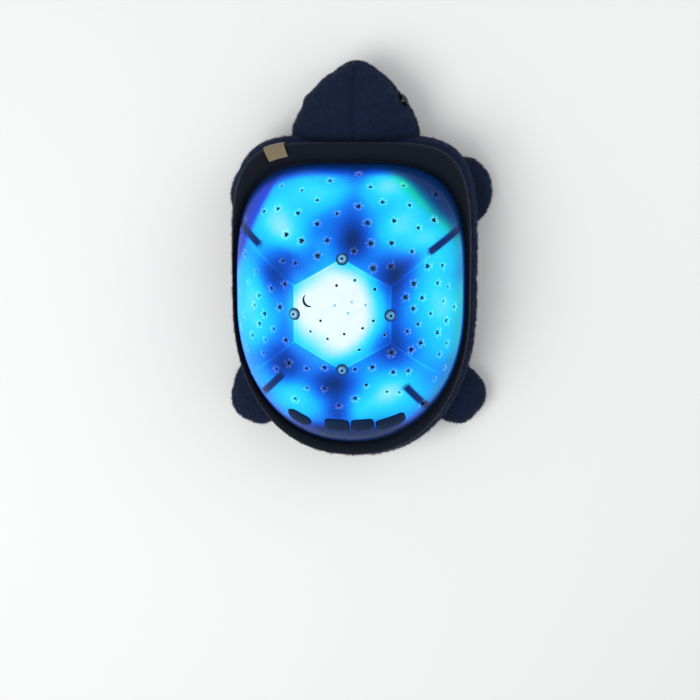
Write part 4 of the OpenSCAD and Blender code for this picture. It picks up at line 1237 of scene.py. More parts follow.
def button_cap(button, low):
    """A cap: rings drawn in from its outline to its middle under the crown, with a rounded upper
    edge, and the wall, lip and pin below."""
    middle = np.array(button[1:3]) * MM
    away = button_outline(button) - middle
    radius = np.linalg.norm(away, axis=-1, keepdims=True)
    rings = []
    for share in CAP_SHARES:
        uv = middle + away * share
        short = np.maximum(BUTTON_FILLET - (1 - share) * radius[:, 0], 0)
        drop = BUTTON_FILLET - np.sqrt(np.maximum(BUTTON_FILLET ** 2 - short ** 2, 0))
        rings.append((uv, cap_top(uv, middle) - drop))
    outline = middle + away
    lip = middle + away * (1 + BUTTON_LIP / radius)
    pin = middle + away * (BUTTON_PIN_R / radius)
    below = [(pin, pin_end(button[0])), (pin, low), (lip, low), (lip, low + BUTTON_LIP_T),
             (outline, low + BUTTON_LIP_T)]
    return loft(np.stack([on_buttons(uv[:, 0], uv[:, 1], np.broadcast_to(w, len(uv)))
                          for uv, w in below + rings]))


def button_material(settings):
    """Satin moulded plastic that the shell's light catches along its upper edge."""
    return finish("button plastic", settings.button, scale=2600, shade=(0.75, 1.3),
                  roughness=(0.34, 0.46), bump=0.12, specular=0.05)


class NIGHTLIGHT_OT_buttons(bpy.types.Operator):
    """Makes the oval power button and the row of three light buttons"""
    bl_idname = "nightlight.buttons"
    bl_label = "Buttons"

    def execute(self, context):
        material = button_material(context.scene.nightlight_case)
        for button in BUTTONS:
            wall = surface_out(*button_outline(button, BUTTON_LIP).T)
            low = wall.min() - SHELL_WALL - BUTTON_DEEP
            piece(button[0] + "_cap", button_cap(button, low), button[0], material, (button[0],),
                  sharp=50)
        return {"FINISHED"}


# ---- Plush ---------------------------------------------------------------------------------------

def point_normals(points, faces):
    """Unit normals at the points: the sum of the normals of the faces that meet there."""
    quads = np.array([f if len(f) == 4 else [*f, f[-1]] for f in faces])
    a, b, c, d = (points[quads[:, k]] for k in range(4))
    normal = np.cross(c - a, d - b)
    total = np.zeros_like(points)
    for k in range(4):
        np.add.at(total, quads[:, k], normal)
    return unit(total) * volume_sign(points, faces)


def lumpy(shape, size, height, seed):
    """The shape with its points moved along their normals by an uneven field."""
    points, faces = shape
    lift = height * ripple(points, size, seed)
    return points + point_normals(points, faces) * lift[:, None], faces


def evaluated(obj):
    """The object as its modifiers leave it."""
    return obj.evaluated_get(bpy.context.evaluated_depsgraph_get())


def blown_up(obj, start, held):
    """Points of the object as cloth that is filled with pressure while its held points stay. No
    point moves further than SIM_CAP."""
    group = obj.vertex_groups.new(name="held")
    for k, weight in enumerate(held(start)):
        if weight > 0.01:
            group.add([k], float(min(weight, 1)), "REPLACE")
    cloth = obj.modifiers.new("cloth", "CLOTH")
    cloth.settings.use_pressure = True
    cloth.settings.uniform_pressure_force = SIM_PRESSURE
    cloth.settings.effector_weights.gravity = 0
    cloth.settings.tension_stiffness = SIM_STIFFNESS
    cloth.settings.compression_stiffness = SIM_STIFFNESS
    cloth.settings.shear_stiffness = SIM_STIFFNESS / 2
    cloth.settings.bending_stiffness = SIM_BENDING
    cloth.settings.shrink_min = -SIM_SLACK
    cloth.settings.vertex_group_mass = "held"
    cloth.point_cache.frame_start = 1
    cloth.point_cache.frame_end = SIM_FRAMES
    scene = bpy.context.scene
    for number in range(1, SIM_FRAMES + 1):
        scene.frame_set(number)
    ended = evaluated(obj)
    move = mesh_arrays(ended.to_mesh())[0] - start
    ended.to_mesh_clear()
    scene.frame_set(1)
    obj.modifiers.clear()
    length = np.linalg.norm(move, axis=-1, keepdims=True)
    return start + move * np.minimum(1, SIM_CAP / np.maximum(length, 1e-9))


def stuffed(name, shape, held, voxel=4 * MM, levels=2):
    """The shape drawn in a little, remeshed evenly, blown up as cloth and smoothed."""
    points, faces = shape
    if volume_sign(points, faces) < 0:
        faces = [face[::-1] for face in faces]
    free = 1 - held(points)
    points = points - point_normals(points, faces) * (SIM_DRAWN_IN * free)[:, None]
    mesh = bpy.data.meshes.new(name)
    mesh.from_pydata(points, [], faces)
    obj = bpy.data.objects.new(name, mesh)
    bpy.context.scene.collection.objects.link(obj)
    remesh = obj.modifiers.new("even", "REMESH")
    remesh.mode = "VOXEL"
    remesh.voxel_size = voxel
    even = bpy.data.meshes.new_from_object(evaluated(obj))
    obj.modifiers.clear()
    obj.data = even
    even.vertices.foreach_set("co", blown_up(obj, mesh_arrays(even)[0], held).ravel())
    smooth = obj.modifiers.new("smooth", "SUBSURF")
    smooth.levels = smooth.render_levels = levels
    final = bpy.data.meshes.new_from_object(evaluated(obj))
    result = mesh_arrays(final)
    bpy.data.objects.remove(obj)
    for used in (mesh, even, final):
        bpy.data.meshes.remove(used)
    return result


def pressed_in(shape, depth):
    """The shape with its points moved in along their normals by a depth given for each."""
    points, faces = shape
    return points - point_normals(points, faces) * depth[:, None], faces


def on_floor(shape):
    """The shape with what is under the floor brought up to it."""
    points, faces = shape
    points[:, 2] = np.maximum(points[:, 2], 0)
    return points, faces


def gathers(angle, count, sway, slow):
    """Uneven waves round the body: sin(count angle + sway sin(slow angle))."""
    return np.sin(count * angle + sway * np.sin(slow * angle))


# The body's side from its flat belly up: shares of the outline's reach, and of the rise to its
# upper edge
BODY_SIDE = ((0.70, 0), (0.80, 0.04), (0.88, 0.15), (0.94, 0.28), (0.98, 0.43), (1.00, 0.62),
             (0.995, 0.80), (0.965, 1))
# The soft ridges round it: how far each stands out, its share of the rise, and its width
BODY_RIDGES = ((1.2 * MM, 0.78, 0.16), (1.0 * MM, 0.35, 0.2))
# Its belly's bulge, its thickness there and at the window's edge, and how far its hidden inner wall
# lies inside the shell's rim, low and high
BELLY_BULGE = 2.4 * MM
BELLY_T = 3.7 * MM
WINDOW_EDGE = 1.2 * MM
BODY_INSIDE = (8.7 * MM, 4.4 * MM)
# The seam round it: its share of the rise and its width, the depth that it is pressed in, and the
# share of the outline's reach past which a point is on the side
BODY_SEAM_AT = 0.62
BODY_SEAM_W = 0.035
BODY_SEAM_DEPTH = 1.3 * MM
ON_SIDE = 0.9


def body_shape():
    """The stuffed wrap: the side profile carried round the body's outline, a soft belly out to the
    window, and the hidden inner wall."""
    angle = turns(240)
    rim, window = body_oval(angle), window_oval(angle)
    rings = []
    for share, rise in curve_through(BODY_SIDE, 44)[::-1]:
        reach = share * rim
        for high, at, width in BODY_RIDGES:
            reach = reach + high * groove(rise - at, width)
        rings.append((reach, BELLY_Z + (SEAM_Z - BELLY_Z) * max(rise, 0)))
    flat = BODY_SIDE[0][0] * rim
    for s in np.linspace(0, 1, 14)[1:]:
        bulge = BELLY_BULGE * (4 * s * (1 - s)) ** 0.8
        rings.append((flat + (window + 0.5 * MM - flat) * s, BELLY_Z - bulge))
    low, high = (shell_oval(angle, 1.0, inset) for inset in BODY_INSIDE)
    skin_z = BELLY_Z + BELLY_T
    rings += [(window, BELLY_Z + WINDOW_EDGE), (window, skin_z), (low, skin_z), (high, SEAM_Z)]
    return hoop(np.stack([level_ring(angle, reach, z) for reach, z in rings]))


def body_seam(points):
    """How near each point is, from 0 to 1, to the seam round the body's widest level."""
    angle, reach = in_plan(points)
    rise = (points[:, 2] - BELLY_Z) / (SEAM_Z - BELLY_Z)
    return groove(rise - BODY_SEAM_AT, BODY_SEAM_W) * (reach > ON_SIDE * body_oval(angle))


def body_held(points):
    """The body is held at its seam, its upper edge, the window and its hidden inner wall."""
    angle, reach = in_plan(points)
    side = (reach > ON_SIDE * body_oval(angle)) & (points[:, 2] < SEAM_Z - 3 * MM)
    belly = (points[:, 2] < BELLY_Z + 1 * MM) & (reach > window_oval(angle) + 6 * MM)
    return np.where(side | belly, np.minimum(1, 1.6 * body_seam(points)), 1.0)


def sewn_body():
    """The stuffed body with its seam puckered in. A finer remesh than the other pieces' keeps its
    thin belly whole."""
    shape = stuffed("body cloth", body_shape(), body_held, voxel=2.4 * MM, levels=1)
    pucker = 1 + 0.5 * gathers(in_plan(shape[0])[0], 61, 3, 5)
    return pressed_in(shape, BODY_SEAM_DEPTH * body_seam(shape[0]) * pucker)


# The collar's section from the flange over its crest: shares of the way from the shell's rim to its
# outer side, and of the rise from the flange to the crest
COLLAR_CREST = ((0.42, 0.99), (0.66, 1.0), (0.87, 0.83), (0.985, 0.47), (1.0, 0.05))
COLLAR_SECTION = ((0.02, -0.1), (0.0, 0.2), (0.04, 0.55), (0.18, 0.84), *COLLAR_CREST,
                  (0.99, -0.35), (0.955, -0.66))
# How far out from the shell its underside comes back to the flange, and how high over the body's
# edge
COLLAR_FOOT = 3.3 * MM
COLLAR_OVER = 0.3 * MM
COLLAR_GATHER = 0.35 * MM


def collar_points(angle, section):
    """Points of the collar: the section's share runs from the shell's rim to the body's outline,
    its rise from the flange to the crest."""
    inner = shell_oval(angle, 1.0, -COLLAR_GAP)
    outer = COLLAR_OUTER * body_oval(angle)
    share, rise = section[:, :1], section[:, 1:]
    return level_ring(angle, inner + (outer - inner) * share,
                      FLANGE_TOP + (COLLAR_TOP - FLANGE_TOP) * rise)


def collar_shape():
    """The padded roll: its section carried round, down to the flange on its inner side."""
    angle = turns(288)
    points = collar_points(angle, curve_through(COLLAR_SECTION, 46))
    inner = shell_oval(angle, 1.0, -COLLAR_FOOT)
    closing = [level_ring(angle, inner, z) for z in (SEAM_Z + COLLAR_OVER, FLANGE_TOP)]
    return hoop(np.concatenate([points, closing]))


def sewn_collar():
    """The collar with shallow gathers that fade towards the middle of its height. Its sides are too
    thin for the remesh that the cloth simulation needs."""
    shape = collar_shape()
    angle, reach = in_plan(shape[0])
    rise = (shape[0][:, 2] - FLANGE_TOP) / (COLLAR_TOP - FLANGE_TOP)
    outer = smooth_step(reach - shell_oval(angle, 1.0, -COLLAR_GAP), 0.5 * MM, 2.5 * MM)
    waves = gathers(angle, 83, 4, 7) * np.minimum(np.abs(rise - 0.45) ** 1.5, 1) * outer
    return pressed_in(shape, COLLAR_GATHER * waves)


def head_width(d):
    """Half width of the head at d behind its tip: it swells by a power curve, and holds behind its
    widest."""
    near = np.clip((HEAD_WIDEST - d) / HEAD_WIDEST, 0, 1)
    return HEAD_HALF_W * (1 - near ** HEAD_SHARP) ** (1 / HEAD_SHARP)


def head_height(d):
    """Half height of the head: a quarter ellipse to its highest, then a slow fall to the neck."""
    near = np.clip((HEAD_HIGHEST - d) / HEAD_HIGHEST, 0, 1)
    back = np.clip((d - HEAD_HIGHEST) / (NECK_BACK - HEAD_HIGHEST), 0, 1)
    return HEAD_HALF_H * np.sqrt(1 - near ** 2) - (HEAD_HALF_H - NECK_HALF_H) * back ** 2


def head_shape():
    """Round sections along the head, closer together towards its tip."""
    turn = turns(120)
    d = NECK_BACK * np.linspace(0.035, 1, 64) ** 2
    wide, high = head_width(d)[:, None], head_height(d)[:, None]
    x = HEAD_REACH - d[:, None] + 0 * turn
    across, z = wide * np.cos(turn), HEAD_Z + high * np.sin(turn)
    cos, sin = math.cos(HEAD_WAY), math.sin(HEAD_WAY)
    rings = np.stack([x * cos - across * sin, SHELL_Y + x * sin + across * cos, z], -1)
    return lumpy(loft(rings), 34 * MM, 0.5 * MM, 11)


def valleys(*parts):
    """The depth, at most 1, of valleys that add up, each a distance, a depth and a width."""
    return np.minimum(1, sum(depth * groove(distance, width) for distance, depth, width in parts))


def head_seam(points):
    """How near each point is, from 0 to 1, to the seams along the head's sides and over its top,
    which fade out towards its tip."""
    plan = plan_of(points)
    d = np.clip(HEAD_REACH - plan @ [math.cos(HEAD_WAY), math.sin(HEAD_WAY)], 1 * MM, NECK_BACK)
    across = plan @ [-math.sin(HEAD_WAY), math.cos(HEAD_WAY)]
    turn = np.arctan2((points[:, 2] - HEAD_Z) / head_height(d), across / head_width(d))
    sides = np.abs(np.sin(turn + 0.18))
    top = turn - math.pi / 2
    seams = valleys((sides, 1, 0.06), (sides, 0.35, 0.25), (top, 0.8, 0.05), (top, 0.3, 0.22))
    return smooth_step(d, 1 * MM, 9 * MM) * seams


def head_held(points):
    """The head is held at its seams and where it meets the body."""
    angle, reach = in_plan(points)
    at_seam = smooth_step(head_seam(points), *SEAM_HOLDS)
    return np.where(reach < 0.985 * body_oval(angle), 1.0, at_seam)


def sewn_head():
    """The stuffed head with its seams pressed in."""
    shape = stuffed("head cloth", head_shape(), head_held)
    return pressed_in(shape, HEAD_SEAM_DEPTH * head_seam(shape[0]))


def foot_lengths(half_w, s):
    """Half width and half thickness of a foot at s, from -1 at its heel to 1 at its toes: w r^0.75
    (0.86 + 0.14 s) and t r^0.8, where r is the circle's half chord."""
    r = np.sqrt(np.clip(1 - (s * np.where(s < 0, 0.8, 1)) ** 2, 1e-6, 1))
    return half_w * MM * r ** 0.75 * (0.86 + 0.14 * s), FOOT_T / 2 * r ** 0.8


def foot_shape(at_x, at_y, way_deg, half_l, half_w, seed):
    """A paddle: oval sections along it, from just short of its heel to just short of its toes, and
    a flat sole."""
    turn = turns(96)
    s = -np.cos(np.linspace(0.0, math.pi, 60) * 0.985 + 0.0075)
    wide, thick = (lengths[:, None] for lengths in foot_lengths(half_w, s))
    along = (half_l * MM * s)[:, None] + 0 * turn
    across = wide * np.cos(turn)
    z = FOOT_T / 2 - SOLE_CUT + thick * np.sin(turn)
    way = math.radians(way_deg)
    x = at_x * MM + along * math.cos(way) - across * math.sin(way)
    y = SHELL_Y + at_y * MM + along * math.sin(way) + across * math.cos(way)
    return on_floor(lumpy(loft(np.stack([x, y, z], -1)), 26 * MM, 0.4 * MM, seed))


def sewn_foot(at_x, at_y, way_deg, half_l, half_w, seed):
    """A foot with the seam round its edge, held at the seam, on its sole and inside the body."""
    way = math.radians(way_deg)

    def seam(points):
        plan = points[:, :2] - [at_x * MM, SHELL_Y + at_y * MM]
        s = np.clip(plan @ [math.cos(way), math.sin(way)] / (half_l * MM), -0.99, 0.99)
        wide, thick = foot_lengths(half_w, s)
        across = plan @ [-math.sin(way), math.cos(way)]
        turn = np.arctan2((points[:, 2] - FOOT_T / 2 + SOLE_CUT) / thick, across / wide)
        near = np.abs(np.sin(turn)) * np.hypot(across / wide, 0.3)
        return valleys((near, 1, 0.07), (near, 0.4, 0.25))

    def held(points):
        angle, reach = in_plan(points)
        inside_body = (reach < ON_SIDE * body_oval(angle)) & (points[:, 2] > BELLY_Z)
        on_sole = points[:, 2] < 1 * MM
        return np.where(inside_body | on_sole, 1.0, smooth_step(seam(points), *SEAM_HOLDS))

    shape = stuffed("foot cloth", foot_shape(at_x, at_y, way_deg, half_l, half_w, seed), held)
    return on_floor(pressed_in(shape, FOOT_SEAM_DEPTH * seam(shape[0])))


# The most tufts on a piece, how far they lean and how much they scatter, their shortest and longest
# as shares of the pile's length, half their thickness, how deep they stand, how far their tips
# droop, and the turns of their three sides
PILE_MOST = 49000
PILE_LEAN = 0.55
PILE_SCATTER = 0.33
PILE_LENGTHS = (0.7, 1.2)
PILE_R = 0.17 * MM
PILE_ROOT = 0.25 * MM
PILE_DROOP = 0.125
PILE_TURNS = (0, 2.0944, 4.1888)


def pile_on(name, source, material, settings, seed, keep, lean=(0.0, -0.55, -0.35)):
    """Tufts of pile all over a piece: closed three-sided spikes that stand on seeded places and
    lean one way with a little scatter, and none reaches under the floor."""
    points, faces = source
    corners = fans(faces)
    normals = point_normals(points, faces)
    a, b, c = (points[corners[:, k]] for k in range(3))
    area = np.linalg.norm(np.cross(b - a, c - a), axis=-1) / 2 * keep((a + b + c) / 3)
    rng = np.random.default_rng(seed)
    count = int(min(area.sum() / MM ** 2 * settings.density, PILE_MOST))
    pick = rng.choice(len(corners), count, p=area / area.sum())
    u, v = rng.random(count), rng.random(count)
    flip = u + v > 1
    u, v = np.where(flip, 1 - u, u)[:, None], np.where(flip, 1 - v, v)[:, None]
    foot = a[pick] + (b - a)[pick] * u + (c - a)[pick] * v
    normal = unit(normals[corners[pick]].mean(1))
    lean = np.array(lean)
    way = unit(normal + PILE_LEAN * lean + PILE_SCATTER * rng.normal(size=(count, 3)))
    side = unit(np.cross(way, rng.normal(size=(count, 3))))
    other = np.cross(way, side)
    length = settings.pile * rng.uniform(*PILE_LENGTHS, (count, 1))
    foot = foot - PILE_ROOT * normal
    ring = [foot + PILE_R * (math.cos(t) * side + math.sin(t) * other) for t in PILE_TURNS]
    tip = foot + way * length * 0.98 + PILE_DROOP * length * lean
    spikes = np.stack([*ring, tip], 1).reshape(-1, 3)
    first = 4 * np.arange(count)[:, None]
    quartet = np.array([[0, 2, 1], [0, 1, 3], [1, 2, 3], [2, 0, 3]])
    tris = (first[:, :, None] + quartet[None]).reshape(-1, 3)
    shade = np.repeat(rng.uniform(0, 1, count), 4)
    return piece(name, on_floor((spikes, tris.tolist())), "body", material,
                 values={"tuft": shade})


# The darkest and the lightest tuft, as the plush's colour times this
TUFT_SHADES = (0.6, 2.1)


def tuft_material(settings):
    """The pile: each tuft has a shade of its own between a darker and a lighter one."""
    material = finish("plush tufts", settings.fur, "plush", scale=700, roughness=(0.75, 0.95),
                      bump=0.0, sheen=0.12, specular=0.15)
    n = Nodes(material.node_tree)
    dark, light = ((*[min(1, share * c) for c in settings.fur], 1) for share in TUFT_SHADES)
    n.feed(Base_Color=n.mix(n.attribute("tuft", "Fac"), dark, light))
    return material


def plush_material(settings):
    """The cloth under the pile."""
    return finish("plush ground", settings.fur, "plush", scale=900, shade=(0.6, 1.5),
                  roughness=(0.8, 0.97), bump=0.5, depth=0.5 * MM, sheen=0.12, specular=0.12)


def shared(key, build, settings):
    """The material of that name, built once."""
    found = bpy.data.materials.get(key)
    return found if found else build(settings)


# The bound edge of the opening in the belly: its bead's radius, how far outside the opening's
# outline it runs and how far under the belly's level, and how far from the outline the pile starts
BINDING_R = 1.9 * MM
BINDING_OUT = 1.2 * MM
BINDING_DROP = 0.2 * MM
BINDING_CLEAR = 4 * MM


def window_binding():
    """A round bead carried round the opening: its middle line, plus its radius times (cos, sin) of
    the turn, outwards and up."""
    angle, turn = turns(200), turns(16)[:, None, None]
    middle = level_ring(angle, window_oval(angle) + BINDING_OUT, BELLY_Z - BINDING_DROP)
    outward = np.stack([np.cos(angle), np.sin(angle), 0 * angle], -1)
    up = np.array([0, 0, 1.0])
    return hoop(middle[None] + BINDING_R * (np.cos(turn) * outward[None] + np.sin(turn) * up))


def body_outside(points):
    """1 where the body's pile grows, and 0 at the bound opening, over the hidden inner wall and at
    the edge under the collar."""
    angle, reach = in_plan(points)
    share, rise = np.array(BODY_SIDE[:5]).T
    level = BELLY_Z + (SEAM_Z - BELLY_Z) * np.interp(reach / body_oval(angle), share, rise)
    hidden = (points[:, 2] > level + BELLY_T / 2) & (reach < 0.93 * body_oval(angle))
    shown = (reach > window_oval(angle) + BINDING_CLEAR) & (points[:, 2] < SEAM_Z - 1 * MM)
    return (shown & ~hidden).astype(float)


class NIGHTLIGHT_OT_body(bpy.types.Operator):
    """Makes the stuffed body with its pile, and the bound edge of the opening in the belly"""
    bl_idname = "nightlight.body"
    bl_label = "Body"

    def execute(self, context):
        settings = context.scene.nightlight_plush
        shape = sewn_body()
        wrap = piece("body_wrap", shape, "body", shared("plush ground", plush_material, settings),
                     ("body_plush",))
        pile_on("body_pile", shape, shared("plush tufts", tuft_material, settings), settings, 5,
                body_outside)
        tape = finish("binding tape", [0.6 * c for c in settings.velour], "weave", scale=1500,
                      shade=(0.7, 1.6), roughness=(0.75, 0.9), bump=0.5, depth=0.2 * MM, sheen=0.2)
        piece("window_binding", window_binding(), "body", tape)
        return {"FINISHED"}


class NIGHTLIGHT_OT_collar(bpy.types.Operator):
    """Makes the padded velour collar round the shell, and the blank label that lies on it"""
    bl_idname = "nightlight.collar"
    bl_label = "Collar"

    def execute(self, context):
        settings = context.scene.nightlight_plush
        velour = finish("collar velour", settings.velour, "plush", scale=1600, shade=(0.6, 1.6),
                        roughness=(0.7, 0.9), bump=0.28, depth=0.15 * MM, sheen=0.08, specular=0.12)
        roll = piece("collar_roll", sewn_collar(), "body", velour, ("collar",))
        label = label_piece(settings)
        return {"FINISHED"}


# The label: the way to its middle from the shell's centre, its width and thickness, its place out
# from the centre as a share of the body's outline, how far it lies off the collar, and how much
# further its inner end bows up
LABEL_ANGLE = math.radians(116)
LABEL_W = 14 * MM
LABEL_T = 0.5 * MM
LABEL_PLACE = 0.9
LABEL_LIFT = 0.7 * MM
LABEL_BOW = 0.9 * MM


def label_piece(settings):
    """The label: a strip that lies a little off the collar's section, from its crest and over."""
    section = curve_through((*COLLAR_CREST, (0.99, -0.45)), 30)
    half = LABEL_W / 2 / (LABEL_PLACE * body_oval(LABEL_ANGLE))
    angle = LABEL_ANGLE + np.linspace(-half, half, 17)
    face = collar_points(angle, section)
    normal = unit(np.cross(np.gradient(face, axis=0), np.gradient(face, axis=1)))
    inside_roll = [0, SHELL_Y, RIM_Z - 20 * MM]
    normal = normal * np.sign((normal * (face - inside_roll)).sum(-1, keepdims=True))
    near_end = np.linspace(1, 0, len(section))[:, None, None] ** 2
    arch = (0.6 + 0.4 * np.cos(np.linspace(-2, 2, len(angle))))[None, :, None]
    lift = LABEL_LIFT + LABEL_BOW * near_end * arch
    lower, upper = face + lift * normal, face + (lift + LABEL_T) * normal
    border = np.concatenate([lower, upper[:, ::-1]], 1)
    material = finish("label tape", settings.tape, "weave", scale=2200, shade=(0.75, 1.1),
                      roughness=(0.7, 0.85), bump=0.6, depth=0.1 * MM, sheen=0.2)
    return piece("care_label_strip", loft(border), "body", material, ("care_label",),
                 sharp=45)


def head_outside(points):
    """1 where the head's pile grows, which is outside the body."""
    angle, reach = in_plan(points)
    return (reach > 0.975 * body_oval(angle)).astype(float)


class NIGHTLIGHT_OT_head(bpy.types.Operator):
    """Makes the stuffed head with its pile, and finishes the eyes"""
    bl_idname = "nightlight.head"
    bl_label = "Head"

    def execute(self, context):
        settings = context.scene.nightlight_plush
        shape = sewn_head()
        ground = shared("plush ground", plush_material, settings)
        head = piece("head_stuffed", shape, "body", ground, ("head_plush",))
        pile_on("head_pile", shape, shared("plush tufts", tuft_material, settings), settings, 6,
                head_outside, lean=(0.0, -0.6, -0.1))
        glossy = finish("eye plastic", (0.003, 0.003, 0.004), scale=300, roughness=(0.10, 0.16),
                        bump=0.02, specular=0.22)
        for name in ("left_eye", "right_eye"):
            dress(name, glossy)
        return {"FINISHED"}


def foot_outside(points):
    """1 where a foot's pile grows, which is outside the body or under it, and above the sole."""
    angle, reach = in_plan(points)
    clear = (reach > 0.93 * body_oval(angle)) | (points[:, 2] < BELLY_Z + 3 * MM)
    return (clear & (points[:, 2] > 2 * MM)).astype(float)


class NIGHTLIGHT_OT_feet(bpy.types.Operator):
    """Makes the four stuffed feet with their pile"""
    bl_idname = "nightlight.feet"
    bl_label = "Feet"

    def execute(self, context):
        settings = context.scene.nightlight_plush
        for k, (name, x, y, way, half_l, half_w) in enumerate(FEET):
            shape = sewn_foot(x, y, way, half_l, half_w, 20 + k)
            foot = piece(name + "_stuffed", shape, "body",
                         shared("plush ground", plush_material, settings), (name,))
            lean = (math.copysign(0.5, x), math.copysign(0.25, y), -0.4)
            pile_on(name + "_pile", shape, shared("plush tufts", tuft_material, settings), settings,
                    30 + k, foot_outside, lean=lean)
        return {"FINISHED"}


# ---- Housing, battery bay and light --------------------------------------------------------------

def dress(name, material):
    """Gives a CAD node its material."""
    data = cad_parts[name].data
    data.materials.clear()
    data.materials.append(material)


# A cell's wrap along its length: where each stretch starts, as a share, and its colour, between the
# bare metal of its two ends
CELL_METAL = (0.6, 0.6, 0.6, 1)
CELL_STRETCHES = ((0.03, (0.55, 0.27, 0.10, 1)), (0.30, (0.02, 0.02, 0.025, 1)))
CELL_CAP_AT = 0.97


def cell_material():
    """A cell's plain film wrap: a copper-coloured stretch, a dark one, and bare metal at the
    ends."""
    material = finish("cell wrap", (0.03, 0.03, 0.035), scale=700, roughness=(0.25, 0.35),
                      bump=0.05, coat=0.4)
    n = Nodes(material.node_tree)
    low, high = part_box("battery_cells")
    place = n.add("ShaderNodeSeparateXYZ")
    n.link(n.place(), place.inputs[0])
    ramp = n.add("ShaderNodeValToRGB")
    ramp.color_ramp.interpolation = "CONSTANT"
    n.link(n.span(place.outputs["Y"], low.y, high.y, "From"), ramp.inputs["Fac"])
    stops = ramp.color_ramp.elements
    stops[0].color = stops[1].color = CELL_METAL
    stops[1].position = CELL_CAP_AT
    for at, shade in CELL_STRETCHES:
        stops.new(at).color = shade
    n.feed(Base_Color=ramp.outputs["Color"])
    return material


def case_coats(settings):
    """The material of each CAD node that shows as it is."""
    moulded = finish("housing plastic", settings.housing, scale=2400, shade=(0.7, 1.35),
                     roughness=(0.45, 0.62), bump=0.25, depth=0.06 * MM)
    steel = finish("zinc plated steel", (0.60, 0.60, 0.61), "brushed", scale=2200, shade=(0.8, 1.1),
                   roughness=(0.22, 0.38), bump=0.08, metallic=1.0)
    nickel = finish("nickel plate", (0.70, 0.68, 0.64), "brushed", scale=3000, shade=(0.85, 1.1),
                    roughness=(0.18, 0.30), bump=0.05, metallic=1.0)
    white = finish("white moulding", (0.74, 0.75, 0.76), scale=1800, shade=(0.9, 1.05),
                   roughness=(0.4, 0.55))
    coats = {
        "base_housing": moulded, "battery_door": moulded, "button_carrier": moulded,
        "case_screws": steel, "door_screw": steel,
        "battery_springs": nickel, "contact_plates": nickel,
        "light_pedestal": white, "battery_cells": cell_material(),
        "light_board": finish("white board", (0.80, 0.80, 0.77), "board", scale=1200,
                              second=(0.62, 0.63, 0.60), roughness=(0.3, 0.4), bump=0.3),
        "control_board": finish("green board", (0.02, 0.16, 0.07), "board", scale=1100,
                                second=(0.05, 0.30, 0.13), roughness=(0.25, 0.35), bump=0.3,
                                coat=0.3),
        "switches": finish("switch body", (0.025, 0.025, 0.028), scale=2600, roughness=(0.4, 0.5)),
    }
    for name, base, glow in (("red", (0.7, 0.05, 0.04), (1.0, 0.35, 0.30, 0.8)),
                             ("green", (0.06, 0.6, 0.12), (0.35, 1.0, 0.45, 0.8)),
                             ("blue", (0.05, 0.12, 0.8), (0.35, 0.55, 1.0, 1.2))):
        coats[name + "_light"] = finish(name + " light", base, scale=400, roughness=(0.05, 0.1),
                                        coat=0.5, glow=glow)
    return coats


class NIGHTLIGHT_OT_case(bpy.types.Operator):
    """Finishes the base housing, the battery bay, the boards, the switches and the three lights"""
    bl_idname = "nightlight.case"
    bl_label = "Case"

    def execute(self, context):
        for name, material in case_coats(context.scene.nightlight_case).items():
            dress(name, material)
        return {"FINISHED"}


# ---- Stage ---------------------------------------------------------------------------------------

CAMERA_AIM = Vector((-0.0007, SHELL_Y - 0.0348, RIM_Z))
CAMERA_WAY = Vector((0.107, 0.180, 1.0)).normalized()
CAMERA_DISTANCE = 0.9
CAMERA_LENS = 62.6
FLOOR_SIZE = 40.0
# How far out the floor fades to the backdrop's colour
FLOOR_FADE = (0.45, 1.8)
# Each lamp: its name, its place, its share of the key lamp's power, and its size
LAMPS = (("key lamp", (-0.55, -0.25, 1.15), 1.0, 0.8), ("side lamp", (0.9, 0.5, 0.9), 0.45, 0.9))
LAMP_AIM = Vector((0, 0, 0.04))
SKY_COLOUR = (0.96, 0.98, 1.0, 1)


def look_from(place, aim):
    """A rotation that looks from place to aim, with +Y up in the picture."""
    back = (place - aim).normalized()
    right = Vector((0, 1, 0)).cross(back).normalized()
    up = back.cross(right)
    return Matrix((right, up, back)).transposed().to_euler()


def floor_material(settings):
    """Pale matt card that fades, far out, to the backdrop's own even colour."""
    material = finish("studio floor", settings.floor, scale=60, shade=(0.985, 1.0),
                      roughness=(0.75, 0.85), bump=0.02)
    n = Nodes(material.node_tree)
    away = n.add("ShaderNodeVectorMath", "LENGTH")
    n.link(n.place(), away.inputs[0])
    fade = n.span(away.outputs["Value"], *FLOOR_FADE, "From", interpolation_type="SMOOTHSTEP")
    even = n.add("ShaderNodeEmission")
    even.inputs["Color"].default_value = (*settings.floor, 1)
    n.blend(fade, n.shader.outputs[0], even.outputs[0], "Material Output")
    return material


def studio_world(settings):
    """Even light from all round, behind a backdrop of the floor's colour."""
    world = bpy.data.worlds.new("studio")
    world.use_nodes = True
    n = Nodes(world.node_tree)
    back = world.node_tree.nodes["Background"]
    back.inputs["Color"].default_value = SKY_COLOUR
    back.inputs["Strength"].default_value = settings.sky
    seen = n.add("ShaderNodeBackground")
    seen.inputs["Color"].default_value = (*settings.floor, 1)
    seen.inputs["Strength"].default_value = 1.0
    path = n.add("ShaderNodeLightPath")
    direct = n.math("MAXIMUM", path.outputs["Is Camera Ray"], path.outputs["Is Glossy Ray"])
    direct = n.math("MAXIMUM", direct, path.outputs["Is Transmission Ray"])
    n.blend(direct, back.outputs[0], seen.outputs[0], "World Output")
    return world


def camera_object():
    """A camera at the photograph's viewing angle."""
    camera = bpy.data.cameras.new("camera")
    camera.lens = CAMERA_LENS
    camera.clip_start = 0.01
    eye = bpy.data.objects.new("camera", camera)
    eye.location = CAMERA_AIM + CAMERA_WAY * CAMERA_DISTANCE
    eye.rotation_euler = look_from(eye.location, CAMERA_AIM)
    return eye


